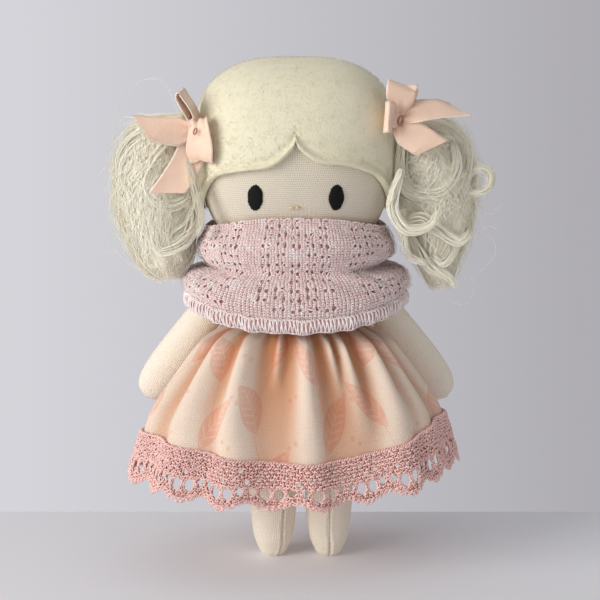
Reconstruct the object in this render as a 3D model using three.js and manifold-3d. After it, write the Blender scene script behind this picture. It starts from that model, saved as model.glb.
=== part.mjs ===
// A small sewn cloth doll, in millimetres, +Z up, its face towards -Y.
// The origin is on the floor below the middle of the standing doll.
import * as THREE from 'three';
import { mergeVertices } from 'three/addons/utils/BufferGeometryUtils.js';
import Module from 'manifold-3d';

const wasm = await Module();
wasm.setup();

// Clearance between pieces that lie against each other
const gap = 0.3;

// Head: a flat-sewn ball of linen, fuller across than deep
const headMiddleZ = 136;
const headHalfWidth = 30.7;
const headHalfDepth = 24;
const headRise = 27.4;
const headDrop = 34;
const headFrontRoundness = 2.8;
const headSideRoundness = 2.2;
const headPlanRoundness = 2.3;

// Embroidery on the face
const eyeSpacing = 25.2;
const eyeZ = 122.4;
const eyeWidth = 5;
const eyeHeight = 7.8;
const stitchHeight = 0.8;
const noseZ = 119.9;
const noseWidth = 3.6;
const noseHeight = 1.2;

// Felt hair cap
const feltThickness = 1.6;
const partingZ = 137.9;
const partingSlit = 1.9;
const fringeWaveX = 9.4;
const fringeWaveZ = 132.4;
const fringeCornerX = 24.5;
const fringeCornerZ = 129;
const capSeamY = 2;

// Torso
const torsoBottomZ = 44.5;
const torsoRoundness = 2.15;
const hipHalfWidth = 18.5;
const hipHalfDepth = 12.5;
const hipZ = 54;
const waistHalfWidth = 16.5;
const waistHalfDepth = 11.5;
const waistZ = 82.3;
const shoulderHalfWidth = 16.4;
const shoulderHalfDepth = 10.5;
const shoulderZ = 91;
const neckRadius = 9;
const neckZ = 99;
const neckSink = 3;

// Arms, hung on one thread that passes through the shoulders
const armRadiusTop = 5;
const armRadius = 6.8;
const armLength = 52.5;
const armSplay = 35;
const armBackSlope = 16;
const armFlatness = 0.9;
const threadRadius = 0.5;
const threadY = 5;
const knotRadius = 1.3;

// Legs, sewn into the bottom seam of the torso
const legRadius = 7.8;
const legFlatness = 0.92;
const legSpacing = 18.6;
const legOffset = 1.6;
const legSeamHalfDepth = 2.6;
const hipAxisZ = 41.6;
const legTopRise = 2.4;
const toeRadius = 4.6;
const soleCut = 0.5;

// Knitted cowl, pulled up over the chin and slouched into two rolls
const knitThickness = 2.2;
const cowlTopZ = 115.9;
const capHemZ = cowlTopZ + 0.5;
const upperRollZ = 107.5;
const upperRollOut = 1.9;
const creaseZ = 98.7;
const creaseHalfWidth = 30;
const creaseHalfDepth = 23.8;
const lowerRollZ = 90.5;
const lowerRollHalfWidth = 37;
const lowerRollHalfDepth = 27.8;
const cowlHemZ = 85.2;
const cowlHemLift = 5.8;
const cowlBackSquare = 1.9;
const hemRollHeight = 4.6;
const hemRollThickness = 2.6;

// Gathered skirt on an elastic, and its crocheted trim
const clothThickness = 1;
const waistbandHeight = 5;
const elasticWidth = 3;
const elasticThickness = 0.8;
const skirtHemZ = 38;
const skirtHemHalfWidth = 50.6;
const skirtHemHalfDepth = 31.5;
const foldDepth = 3;
const hemLift = 4.9;
const hemLiftRight = 5;
const armHollow = 7;
const skirtEdgeY = -9;
const laceHeight = 17;
const laceThickness = 1;
const laceOverlap = 3.4;
const laceGap = 0.45;
const scallops = 22;
const scallopDepth = 1.9;
const meshBarShare = 0.12;
// Drops below the trim's top of its rows: header, small holes, band, large holes, edge
const laceDrops = [0, 4.6, 7.2, 9, 13, laceHeight - scallopDepth];

// Ribbon bows and mohair pigtails
const bowX = headHalfWidth + gap;
const bowY = -14.4;
const leftBowZ = 142.8;
const rightBowZ = 146;
const ribbonWidth = 9.5;
const ribbonThickness = 0.5;
const ribbonKnot = 5;
const knotDepthShare = 0.42;
const bowStitchRadius = 0.8;
const pigtailRootX = headHalfWidth + feltThickness + 1.1;
const pigtailRootZ = 147;
const pigtailFrontBack = 10.6;

const degrees = Math.PI / 180;

// A geometry from its points and the corners of its triangles, facing outwards
function bodyFrom(points, corners) {
  let volume = 0;
  for (let i = 0; i < corners.length; i += 3) {
    const [a, b, c] = [points[corners[i]], points[corners[i + 1]], points[corners[i + 2]]];
    volume += a.dot(new THREE.Vector3().crossVectors(b, c));
  }
  const index = volume > 0 ? corners : [...corners].reverse();
  const geometry = new THREE.BufferGeometry().setFromPoints(points);
  geometry.setIndex(index);
  geometry.computeVertexNormals();
  return geometry;
}

// A closed form swept through rows of rings that close in a point at both ends
function rounded(pointAt, rows, columns) {
  const points = [pointAt(0, 0)];
  for (let row = 1; row < rows; row += 1) {
    for (let column = 0; column < columns; column += 1) {
      points.push(pointAt(row / rows, column / columns));
    }
  }
  points.push(pointAt(1, 0));
  const last = points.length - 1;
  const at = (row, column) => 1 + (row - 1) * columns + (column % columns);
  const corners = [];
  for (let column = 0; column < columns; column += 1) {
    corners.push(0, at(1, column), at(1, column + 1));
    corners.push(last, at(rows - 1, column + 1), at(rows - 1, column));
    for (let row = 1; row < rows - 1; row += 1) {
      corners.push(at(row, column), at(row + 1, column), at(row + 1, column + 1));
      corners.push(at(row, column), at(row + 1, column + 1), at(row, column + 1));
    }
  }
  return bodyFrom(points, corners);
}

// A closed section carried once round, like a ring or a sleeve
function sleeve(pointAt, sectionPoints, columns) {
  const points = [];
  for (let row = 0; row < sectionPoints; row += 1) {
    for (let column = 0; column < columns; column += 1) {
      points.push(pointAt(row, column / columns));
    }
  }
  const at = (row, column) => (row % sectionPoints) * columns + (column % columns);
  const corners = [];
  for (let row = 0; row < sectionPoints; row += 1) {
    for (let column = 0; column < columns; column += 1) {
      corners.push(at(row, column), at(row + 1, column), at(row + 1, column + 1));
      corners.push(at(row, column), at(row + 1, column + 1), at(row, column + 1));
    }
  }
  return bodyFrom(points, corners);
}

function solidOf(geometry) {
  const bare = geometry.clone();
  bare.deleteAttribute('normal');
  bare.deleteAttribute('uv');
  const merged = mergeVertices(bare, 1e-4);
  return new wasm.Manifold(new wasm.Mesh({
    numProp: 3,
    vertProperties: merged.attributes.position.array,
    triVerts: Uint32Array.from(merged.index.array),
  }));
}

function geometryOf(solid) {
  const mesh = solid.getMesh();
  const geometry = new THREE.BufferGeometry();
  geometry.setAttribute('position', new THREE.BufferAttribute(mesh.vertProperties, 3));
  geometry.setIndex(new THREE.BufferAttribute(mesh.triVerts, 1));
  geometry.computeVertexNormals();
  return geometry;
}

const moved = (geometry, x, y, z) => geometry.clone().translate(x, y, z);
const joined = (...geometries) => geometryOf(
  geometries.map(solidOf).reduce((whole, solid) => whole.add(solid)),
);
const cut = (geometry, ...tools) => geometryOf(
  tools.map(solidOf).reduce((whole, solid) => whole.subtract(solid), solidOf(geometry)),
);
const kept = (geometry, region) => geometryOf(solidOf(geometry).intersect(solidOf(region)));

// A smooth curve through stations [place, value, value...], read at one place
function along(stations, place) {
  const last = stations.length - 1;
  const held = THREE.MathUtils.clamp(place, stations[0][0], stations[last][0]);
  let i = 0;
  while (i < last - 1 && held > stations[i + 1][0]) i += 1;
  const [before, a, b, after] = [stations[Math.max(i - 1, 0)], stations[i], stations[i + 1],
    stations[Math.min(i + 2, last)]];
  const step = b[0] - a[0];
  const t = (held - a[0]) / step;
  return a.slice(1).map((value, k) => {
    const slopeA = ((b[k + 1] - before[k + 1]) / (b[0] - before[0])) * step;
    const slopeB = ((after[k + 1] - value) / (after[0] - a[0])) * step;
    const rise = b[k + 1] - value;
    return value + t * slopeA + t * t * (3 * rise - 2 * slopeA - slopeB)
      + t * t * t * (slopeA + slopeB - 2 * rise);
  });
}

// How far a rounded-off outline reaches sideways at a share of its half height
const reach = (share, roundness) => (1 - Math.abs(share) ** roundness) ** (1 / roundness);
const power = (value, exponent) => Math.sign(value) * Math.abs(value) ** exponent;

// A point on a rounded oval, from turn 0 at the front through +X
function oval(turn, halfWidth, halfDepth, roundness) {
  const angle = turn * 2 * Math.PI;
  return [
    halfWidth * power(Math.sin(angle), 2 / roundness),
    -halfDepth * power(Math.cos(angle), 2 / roundness),
  ];
}

// The head's half width and half depth at a height, grown outwards by a margin
function headSize(z, margin) {
  const half = (z > headMiddleZ ? headRise : headDrop) + margin;
  const share = Math.min(Math.abs(z - headMiddleZ) / half, 1);
  return [
    (headHalfWidth + margin) * reach(share, headFrontRoundness),
    (headHalfDepth + margin) * reach(share, headSideRoundness),
  ];
}

function headForm(margin) {
  return rounded((v, turn) => {
    const share = -Math.cos(v * Math.PI);
    const z = headMiddleZ + ((share > 0 ? headRise : headDrop) + margin) * power(share, 0.85);
    const [halfWidth, halfDepth] = headSize(z, margin);
    const [x, y] = oval(turn, halfWidth, halfDepth, headPlanRoundness);
    return new THREE.Vector3(x, y, z);
  }, 13, 32);
}

// The face's surface in front of a place (x, z)
function faceY(x, z, margin) {
  const [halfWidth, halfDepth] = headSize(z, margin);
  return -halfDepth * reach(Math.min(Math.abs(x) / halfWidth, 1), headPlanRoundness);
}

// A domed pad of stitches on the face, oval in outline
function facePad(x, z, width, height) {
  return rounded((v, turn) => {
    const angle = turn * 2 * Math.PI;
    const spread = Math.sin(v * Math.PI);
    const across = x + (width / 2) * spread * Math.sin(angle);
    const up = z + (height / 2) * spread * Math.cos(angle);
    const front = v > 0.5 ? stitchHeight * (1 - spread * spread * 0.6) : 0;
    return new THREE.Vector3(across, faceY(across, up, gap) - front, up);
  }, 6, 16);
}

// Half of the fringe's lower edge, from the parting out to the side seam
function fringeEdge(side) {
  const edge = new THREE.Path();
  edge.moveTo(0, partingZ + partingSlit);
  edge.lineTo(side * 0.7, partingZ);
  edge.bezierCurveTo(side * 3, partingZ - 2.4, side * 5.6, fringeWaveZ + 0.6,
    side * fringeWaveX, fringeWaveZ);
  edge.bezierCurveTo(side * (fringeWaveX + 6), fringeWaveZ - 0.2,
    side * (fringeCornerX - 5), fringeCornerZ + 2.2, side * fringeCornerX, fringeCornerZ);
  edge.bezierCurveTo(side * (fringeCornerX + 3.4), fringeCornerZ - 2.6,
    side * (headHalfWidth - 1), fringeCornerZ - 7, side * headHalfWidth, capHemZ);
  edge.lineTo(side * headHalfWidth * 2, capHemZ);
  return edge.getPoints(6);
}

function fringeRegion() {
  const top = headMiddleZ + headRise * 2;
  const right = fringeEdge(1);
  const left = fringeEdge(-1).reverse();
  const outline = new THREE.Shape([
    ...left.slice(0, -1),
    ...right,
    new THREE.Vector2(headHalfWidth * 2, top),
    new THREE.Vector2(-headHalfWidth * 2, top),
  ]);
  const deep = headHalfDepth * 2;
  const region = new THREE.ExtrudeGeometry(outline, { depth: deep, bevelEnabled: false });
  // The extrusion runs along +Z, and is turned to run from the front back to the seam
  region.rotateX(Math.PI / 2);
  return moved(region, 0, capSeamY - gap / 2, 0);
}

function capBackRegion() {
  const deep = headHalfDepth * 2;
  const high = headRise * 2 + headMiddleZ - capHemZ;
  const box = new THREE.BoxGeometry(headHalfWidth * 4, deep, high);
  return moved(box, 0, capSeamY + gap / 2 + deep / 2, capHemZ + high / 2);
}

const feltShell = cut(headForm(gap + feltThickness), headForm(gap));

// Torso, tapering into a neck stub that the head is sewn on
const torsoStations = [
  [torsoBottomZ, hipHalfWidth * 0.86, hipHalfDepth * 0.7],
  [hipZ, hipHalfWidth, hipHalfDepth],
  [waistZ, waistHalfWidth, waistHalfDepth],
  [shoulderZ, shoulderHalfWidth, shoulderHalfDepth],
  [neckZ, neckRadius, neckRadius * 0.9],
  [headMiddleZ - headDrop + neckSink, neckRadius * 0.9, neckRadius * 0.8],
];

function torsoForm() {
  const rows = 14;
  const top = headMiddleZ - headDrop + neckSink;
  return rounded((v, turn) => {
    const share = THREE.MathUtils.clamp((v * rows - 1) / (rows - 2), 0, 1);
    const z = torsoBottomZ + (top - torsoBottomZ) * share;
    const spread = v === 0 || v === 1 ? 0 : 1;
    const [halfWidth, halfDepth] = along(torsoStations, z);
    const [x, y] = oval(turn, halfWidth * spread, halfDepth * spread, torsoRoundness);
    return new THREE.Vector3(x, y, z);
  }, rows, 24);
}

// An arm's pivot on the shoulder thread, and how far the arm reaches along the thread
const armReach = armRadiusTop / Math.cos(armSplay * degrees);
const armPivotX = shoulderHalfWidth + gap + armReach;

function threadRod(radius, halfLength) {
  const rod = new THREE.CylinderGeometry(radius, radius, halfLength * 2, 10);
  rod.rotateZ(Math.PI / 2);
  return moved(rod, 0, threadY, shoulderZ);
}

// An arm hangs from its pivot, splayed outwards and a little behind the skirt's side
function armForm(side) {
  const stations = [
    [0, 0.5, 0.5],
    [0.05, armRadiusTop * 0.72, armRadiusTop * 0.72],
    [0.14, armRadiusTop, armRadiusTop],
    [0.5, armRadius * 0.95, armRadius * 0.9],
    [0.8, armRadius, armRadius * armFlatness],
    [0.94, armRadius * 0.74, armRadius * 0.66],
    [1, 0.5, 0.5],
  ];
  const above = armRadiusTop * 0.95;
  const arm = rounded((v, turn) => {
    const place = 0.5 - 0.5 * Math.cos(v * Math.PI);
    const spread = v === 0 || v === 1 ? 0 : 1;
    const [halfWidth, halfDepth] = along(stations, place);
    const [x, y] = oval(turn, halfWidth * spread, halfDepth * spread, 2.1);
    return new THREE.Vector3(x, y, above - place * (armLength + above));
  }, 12, 14);
  arm.rotateX(armBackSlope * degrees);
  arm.rotateY(-side * armSplay * degrees);
  return moved(arm, side * armPivotX, threadY, shoulderZ);
}

// A leg is narrow in depth at its seam, full below it, and tapers to the foot
function legForm(side) {
  const top = hipAxisZ + legTopRise;
  const stations = [
    [0, toeRadius * 0.62, toeRadius * 0.62],
    [0.04, toeRadius * 0.95, toeRadius],
    [0.16, legRadius * 0.83, legRadius * 0.82],
    [0.42, legRadius, legRadius * legFlatness],
    [0.75, legRadius, legRadius * 0.78],
    [hipAxisZ / top, legRadius * 0.86, legSeamHalfDepth],
    [1, legRadius * 0.74, legSeamHalfDepth * 0.3],
  ];
  const leg = rounded((v, turn) => {
    const place = 0.5 - 0.5 * Math.cos(v * Math.PI);
    const spread = v === 0 || v === 1 ? 0 : 1;
    const [halfWidth, halfDepth] = along(stations, place);
    const [x, y] = oval(turn, halfWidth * spread, halfDepth * spread, 2.1);
    return new THREE.Vector3(x, y, -soleCut + place * (top + soleCut));
  }, 12, 14);
  const floorCut = new THREE.BoxGeometry(legRadius * 4, legRadius * 4, legRadius * 2);
  return moved(cut(leg, moved(floorCut, 0, 0, -legRadius)), side * legSpacing / 2 + legOffset, 0, 0);
}

// The cowl's outer face at a station: [z, half width, half depth], top first
function cowlStations() {
  const [chinWidth, chinDepth] = headSize(cowlTopZ - 2, gap + knitThickness);
  const [topWidth, topDepth] = headSize(cowlTopZ, gap + knitThickness);
  return [
    [cowlHemZ, lowerRollHalfWidth - 0.6, lowerRollHalfDepth - 0.6, 1],
    [(cowlHemZ + lowerRollZ) / 2, lowerRollHalfWidth, lowerRollHalfDepth, 1],
    [lowerRollZ, lowerRollHalfWidth - 0.4, lowerRollHalfDepth - 0.2, 0.8],
    [(lowerRollZ + creaseZ) / 2 + 1, (lowerRollHalfWidth + creaseHalfWidth) / 2 + 0.6,
      (lowerRollHalfDepth + creaseHalfDepth) / 2 + 0.6, 0.35],
    [creaseZ, creaseHalfWidth, creaseHalfDepth, 0],
    [(creaseZ + upperRollZ) / 2, creaseHalfWidth + upperRollOut * 0.8,
      creaseHalfDepth + upperRollOut, -0.05],
    [upperRollZ, creaseHalfWidth + upperRollOut, creaseHalfDepth + upperRollOut * 1.3, -0.1],
    [cowlTopZ - 2, chinWidth, chinDepth, -0.25],
    [cowlTopZ, topWidth - 0.5, topDepth - 0.5, -0.25],
  ];
}

// A point of the knit, inset from its outer face, raised at the sides by its own share
function cowlPoint(turn, z, inset, drop = 0) {
  const [halfWidth, halfDepth, lift] = along(cowlStations(), z);
  // The lower roll is pushed out square by the arms behind the middle
  const square = Math.cos(turn * 2 * Math.PI) < 0 ? cowlBackSquare * Math.max(lift, 0) : 0;
  const [x, y] = oval(turn, halfWidth - inset, halfDepth - inset, headPlanRoundness + square);
  // Its lower edge is raised where it lies over the arms, at the sides and behind them
  const overArms = Math.abs(Math.sin(turn * 2 * Math.PI)) ** (square > 0 ? 0.7 : 2);
  return new THREE.Vector3(x, y, z - drop + cowlHemLift * lift * overArms);
}

function cowlForm(margin = 0) {
  const heights = cowlStations().map((station) => station[0]);
  const outer = heights.map((z) => [z, -margin]);
  const inner = heights.map((z) => [z, knitThickness + margin]).reverse();
  const section = [...outer, ...inner];
  return sleeve((row, turn) => cowlPoint(turn, ...section[row]), section.length, 36);
}

// The overlocked edge is a roll of thread below the knit's lower edge
function cowlHemForm() {
  const middle = gap + hemRollHeight / 2;
  return sleeve((row, turn) => {
    const angle = (row / 6) * 2 * Math.PI;
    const out = (hemRollThickness / 2) * Math.cos(angle);
    const up = (hemRollHeight / 2) * Math.sin(angle);
    return cowlPoint(turn, cowlHemZ, knitThickness / 2 - out, middle - up);
  }, 6, 36);
}

// Half width, front half depth and back half depth of the skirt cloth's outer face
const bandTopZ = waistZ + waistbandHeight / 2;
const bandBottomZ = waistZ - waistbandHeight / 2;
const bandWall = elasticThickness + gap * 2 + clothThickness * 2;
const [bandHalfWidth, bandHalfDepth] = along(torsoStations, bandBottomZ)
  .map((size) => size + gap + bandWall);
const laceBottomZ = skirtHemZ + laceOverlap - laceHeight;
const skirtFall = bandBottomZ - skirtHemZ;
// How far the cloth has flared at shares of its fall: [share of fall, across, front to back]
const flareShares = [
  [(bandBottomZ - laceBottomZ) / skirtFall, 1.14, 1.1],
  [1, 1, 1],
  [0.7, 0.86, 0.91],
  [0.4, 0.59, 0.74],
  [0.15, 0.34, 0.52],
  [0.06, 0.21, 0.34],
  [0.015, 0.06, 0.11],
  [-0.01, 0, 0],
];
const skirtStations = [
  ...flareShares.map(([share, across, deep]) => [
    bandBottomZ - skirtFall * share,
    bandHalfWidth + (skirtHemHalfWidth - bandHalfWidth) * across,
    bandHalfDepth + (skirtHemHalfDepth - bandHalfDepth) * deep,
  ]),
  [bandTopZ, bandHalfWidth, bandHalfDepth],
];

// The folds' ridges, in degrees from the front towards +X:
// [at the band, at the hem, half width at the band, at the hem, share faded at the hem]
const skirtFolds = [
  [-49, -41, 9, 11, 0],
  [-26, -21, 6.5, 10, 0],
  [-6, -6, 5.5, 8, 0.7],
  [9, 11, 5.5, 10, 0],
  [23, 27, 5.5, 8, 0.6],
  [35, 36, 5.5, 8, 0.7],
  [54, 47, 9, 12, 0],
  ...[80, 105, 130, 155, 180, 205, 230, 255, 281].map((at) => [at, at, 9, 11, 0.2]),
];

// The height of the folds at a turn, from the valleys between them
function foldShare(degreesTurned, fall) {
  return skirtFolds.reduce((sum, [atBand, atHem, bandSpread, hemSpread, fade]) => {
    const centre = THREE.MathUtils.lerp(atBand, atHem, fall);
    const away = THREE.MathUtils.euclideanModulo(degreesTurned - centre + 180, 360) - 180;
    const spread = THREE.MathUtils.lerp(bandSpread, hemSpread, fall);
    return sum + (1 - fade * fall) * Math.exp(-((away / spread) ** 2));
  }, 0);
}

// A point of the skirt, inset from the cloth's outer face
function skirtPoint(turn, z, inset) {
  const { smoothstep } = THREE.MathUtils;
  const [halfWidth, halfDepth] = along(skirtStations, z);
  const angle = turn * 2 * Math.PI;
  const fall = THREE.MathUtils.clamp((bandBottomZ - z) / skirtFall, 0, 1.4);
  const fallen = Math.min(fall, 1);
  // Folds start just under the band
  const fold = foldDepth * smoothstep(fall, 0, 0.14) * (foldShare(turn * 360, fallen) - 0.5);
  // The cloth is widest a little in front of the middle, and the arms press it in behind that
  const flare = smoothstep(fall, 0, 0.14);
  const middleY = skirtEdgeY * flare;
  const front = Math.cos(angle) > 0;
  const turned = Math.acos(Math.cos(angle));
  const behind = smoothstep(turned, 90 * degrees, 112 * degrees)
    * (1 - smoothstep(turned, 125 * degrees, 165 * degrees));
  const press = armHollow * behind * flare * (1 - 0.5 * smoothstep(fall, 0.9, 1.3));
  const depth = halfDepth + fold - inset + (front ? middleY : -middleY);
  const [x, acrossY] = oval(turn, halfWidth + fold - press - inset, depth, torsoRoundness);
  // The hem is a little higher at the sides, most on the right
  const lift = hemLift + (x > 0 ? hemLiftRight : 0);
  return new THREE.Vector3(x, acrossY + middleY, z + lift * Math.sin(angle) ** 2 * fallen ** 2);
}

const skirtColumns = 72;

function skirtForm() {
  const falls = [0, 0.28, 0.55, 0.8, 0.93].map((share) => skirtHemZ + skirtFall * share);
  const foldedUnder = 0.9;
  const slot = clothThickness + gap * 2 + elasticThickness;
  const section = [
    ...falls.map((z) => [z, 0]),
    [bandBottomZ + gap, 0],
    [bandTopZ, 0],
    [bandTopZ, slot + clothThickness],
    [bandBottomZ + foldedUnder, slot + clothThickness],
    [bandBottomZ + foldedUnder, slot],
    [bandTopZ - clothThickness, slot],
    [bandTopZ - clothThickness, clothThickness],
    ...falls.reverse().map((z) => [z, clothThickness]),
  ];
  return sleeve((row, turn) => skirtPoint(turn, ...section[row]), section.length, skirtColumns);
}

function elasticForm() {
  const inner = clothThickness + gap + elasticThickness;
  const top = bandTopZ - clothThickness - gap;
  const section = [
    [top, clothThickness + gap],
    [top, inner],
    [top - elasticWidth, inner],
    [top - elasticWidth, clothThickness + gap],
  ];
  return sleeve((row, turn) => skirtPoint(turn, ...section[row]), section.length, skirtColumns / 2);
}

// Crocheted trim: two rows of holes between bars, and a scalloped lower edge
function laceForm() {
  const period = 1 / scallops;
  const columnPlaces = [0, meshBarShare, 0.5, 0.5 + meshBarShare];
  const top = skirtHemZ + laceOverlap;
  const columns = scallops * columnPlaces.length;
  const rows = laceDrops.length - 1;
  const open = (row, column) => (row === 1 || row === 3) && column % 2 === 1;
  const pointAt = (row, column, layer) => {
    const place = columnPlaces[column % columnPlaces.length];
    const turn = (Math.floor(column / columnPlaces.length) + place) * period;
    const middle = place - meshBarShare / 2;
    const bow = row === rows ? scallopDepth * Math.sin(middle * Math.PI) ** 2 : 0;
    const out = laceThickness * layer + laceGap;
    return skirtPoint(turn, top - laceDrops[row] - bow, -out);
  };
  const points = [];
  for (let layer = 0; layer < 2; layer += 1) {
    for (let row = 0; row <= rows; row += 1) {
      for (let column = 0; column < columns; column += 1) points.push(pointAt(row, column, layer));
    }
  }
  const at = (layer, row, column) => (layer * (rows + 1) + row) * columns
    + ((column + columns) % columns);
  const corners = [];
  const face = (a, b, c, d) => corners.push(a, b, c, a, c, d);
  const isOpen = (row, column) => row < 0 || row >= rows
    || open(row, (column + columns) % columns);
  for (let row = 0; row < rows; row += 1) {
    for (let column = 0; column < columns; column += 1) {
      if (!isOpen(row, column)) {
        face(at(1, row, column), at(1, row + 1, column), at(1, row + 1, column + 1),
          at(1, row, column + 1));
        face(at(0, row, column + 1), at(0, row + 1, column + 1), at(0, row + 1, column),
          at(0, row, column));
        if (isOpen(row - 1, column)) {
          face(at(0, row, column), at(1, row, column), at(1, row, column + 1),
            at(0, row, column + 1));
        }
        if (isOpen(row + 1, column)) {
          face(at(0, row + 1, column + 1), at(1, row + 1, column + 1), at(1, row + 1, column),
            at(0, row + 1, column));
        }
        if (isOpen(row, column - 1)) {
          face(at(0, row + 1, column), at(1, row + 1, column), at(1, row, column),
            at(0, row, column));
        }
        if (isOpen(row, column + 1)) {
          face(at(0, row, column + 1), at(1, row, column + 1), at(1, row + 1, column + 1),
            at(0, row + 1, column + 1));
        }
      }
    }
  }
  return bodyFrom(points, corners);
}

// A flat ribbon along a route; its width turns from one direction to another, and its far end
// may be cut aslant. It is gathered where it leaves the knot, at both ends of a loop.
function ribbon({ route, across, acrossEnd = across, slant = 0, loop = false }, knotZ, side) {
  const toPoint = ([x, out, up]) => new THREE.Vector3(
    side * bowX + x * ribbonWidth, bowY - out * ribbonWidth, knotZ + up * ribbonWidth,
  );
  const curve = new THREE.CatmullRomCurve3(route.map(toPoint));
  const steps = route.length * 3;
  const gathered = 0.45;
  const points = [];
  for (let i = 0; i <= steps; i += 1) {
    const t = i / steps;
    const heading = curve.getTangent(t);
    const wide = new THREE.Vector3(...across).lerp(new THREE.Vector3(...acrossEnd), t);
    wide.addScaledVector(heading, -wide.dot(heading)).normalize();
    const normal = new THREE.Vector3().crossVectors(heading, wide);
    const centre = curve.getPoint(t);
    const fromKnot = loop ? Math.min(t, 1 - t) : t;
    const open = THREE.MathUtils.smoothstep(fromKnot, 0, 0.28);
    const half = (ribbonWidth / 2) * THREE.MathUtils.lerp(gathered, 1, open);
    [[-1, -1], [1, -1], [1, 1], [-1, 1]].forEach(([edge, face]) => {
      points.push(centre.clone()
        .addScaledVector(wide, edge * half)
        .addScaledVector(normal, (face * ribbonThickness) / 2)
        .addScaledVector(heading, i === steps ? slant * ribbonWidth * edge : 0));
    });
  }
  const corners = [0, 1, 2, 0, 2, 3];
  for (let i = 0; i < steps; i += 1) {
    for (let k = 0; k < 4; k += 1) {
      const [a, b] = [i * 4 + k, i * 4 + ((k + 1) % 4)];
      corners.push(b, a, a + 4, b, a + 4, b + 4);
    }
  }
  const end = steps * 4;
  corners.push(end + 2, end + 1, end, end + 3, end + 2, end);
  return bodyFrom(points, corners);
}

// The knot is a short fold of the ribbon wrapped round its middle
function knotForm(side, knotZ) {
  return rounded((v, turn) => {
    const [across, out] = oval(turn, ribbonKnot / 2, ribbonKnot * knotDepthShare, 2.6);
    const swell = Math.sin(v * Math.PI) ** 0.5;
    return new THREE.Vector3(
      side * bowX + across * swell,
      bowY + out * swell,
      knotZ - (ribbonKnot / 2) * Math.cos(v * Math.PI),
    );
  }, 6, 10);
}

// Bows are tied from one ribbon. Routes are in ribbon widths from the middle of the knot:
// [towards +X, out to the front, up]; a loop leaves one side of the knot and returns to the other.
const frontLoopOut = 0.54;
// Left bow: a narrow loop up, seen edge-on, a flat one over the knot, one tail out and one down
const leftBow = {
  upLoop: {
    route: [[-0.09, 0, 0], [-0.4, 0, 0.6], [-0.7, 0.03, 1.15], [-0.6, 0.05, 1.33],
      [-0.42, 0.03, 1.1], [-0.1, 0.02, 0.6], [0.09, 0, 0]],
    across: [0.3, 1, 0.1],
    loop: true,
  },
  frontLoop: {
    route: [[0, 0.02, 0.12], [0.02, 0.42, 0.3], [0.06, frontLoopOut, 0],
      [0.11, frontLoopOut, -0.5], [0.15, 0.5, -0.98], [0.13, 0.34, -0.95], [0.08, 0.26, -0.45],
      [0, 0.02, -0.12]],
    across: [1, -0.5, 0.1],
    loop: true,
  },
  outTail: {
    route: [[0, 0.06, 0], [-0.7, 0.2, 0.04], [-1.3, 0.24, 0.12], [-1.8, 0.2, 0.17]],
    across: [0, 0.2, 1],
    slant: 0.3,
  },
  downTail: {
    route: [[0, 0.06, -0.1], [-0.2, 0.22, -0.8], [-0.52, 0.26, -1.45], [-0.94, 0.24, -2.02]],
    across: [1, 0.1, -0.25],
    slant: -0.22,
  },
};

// Right bow: a flat loop up, one folded tight in front, both tails towards the pigtail
const rightBow = {
  upLoop: {
    route: [[0.06, 0.1, 0.08], [0.2, 0.2, 0.7], [0.2, 0.22, 1.2], [0.24, 0, 1.32],
      [0.26, -0.1, 0.8], [0.08, -0.08, 0.1]],
    across: [1, 0.15, -0.3],
    loop: true,
  },
  frontLoop: {
    route: [[-0.1, 0.02, 0], [-0.32, 0.34, 0.1], [-0.37, 0.68, 0.12], [-0.25, 0.8, 0.14],
      [-0.14, 0.62, 0.12], [-0.07, 0.3, 0.06], [0.02, 0.04, 0]],
    across: [0.1, 0, 1],
    loop: true,
  },
  outTail: {
    route: [[0, 0.06, 0.04], [0.7, 0.22, 0.26], [1.4, 0.2, 0.32], [2.1, 0.14, 0.3]],
    across: [0, 0.2, 1],
    acrossEnd: [0, 0.8, 0.6],
    slant: 0.1,
  },
  downTail: {
    route: [[0, 0.08, -0.1], [0.4, 0.3, -0.4], [0.85, 0.36, -0.72], [1.22, 0.34, -0.96]],
    across: [-0.6, 0.1, -0.8],
    slant: 0.22,
  },
};

const bowForm = (strips, side, knotZ) => joined(
  knotForm(side, knotZ),
  ...Object.values(strips).map((strip) => ribbon(strip, knotZ, side)),
);

// A lock of curled mohair, gathered at its root and lumpy below it
function pigtailForm(side, stations, lumps) {
  const lock = rounded((v, turn) => {
    const place = 0.5 - 0.5 * Math.cos(v * Math.PI);
    const [x, z, radius] = along(stations, place);
    const [xAhead, zAhead] = along(stations, Math.min(place + 0.01, 1));
    const [xBefore, zBefore] = along(stations, Math.max(place - 0.01, 0));
    const lean = Math.atan2(xAhead - xBefore, zBefore - zAhead);
    const angle = turn * 2 * Math.PI;
    const lump = 1 + 0.09 * Math.sin(angle * 3 + place * lumps * 2)
      + 0.07 * Math.sin(place * lumps * 5 + angle);
    const size = v === 0 || v === 1 ? 0 : radius * lump;
    const out = size * Math.sin(angle);
    const deep = size * 0.95 * -Math.cos(angle);
    return new THREE.Vector3(
      side * (pigtailRootX + x + out * Math.cos(lean)),
      THREE.MathUtils.clamp(deep, -pigtailFrontBack, pigtailFrontBack),
      pigtailRootZ - z + out * Math.sin(lean),
    );
  }, 18, 18);
  return cut(lock, headForm(gap * 2 + feltThickness), cowlForm(gap));
}

// Each lock's middle line and radius: [share, out from the root, down from it, radius]
const leftLock = [[0, 2.2, -1, 3], [0.12, 5.6, 4, 7.5], [0.32, 10, 12, 12.4], [0.56, 11.8, 25, 13.2],
  [0.8, 10, 40, 11.4], [0.93, 8.6, 49, 7.6], [1, 7.4, 53, 3]];
const rightLock = [[0, 2, -1, 3], [0.12, 5, 4, 7], [0.32, 10, 12, 11.4], [0.56, 12.4, 25, 12],
  [0.8, 12.8, 40, 9.6], [0.93, 13.4, 50, 5.5], [1, 14.4, 56, 3]];

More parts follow.
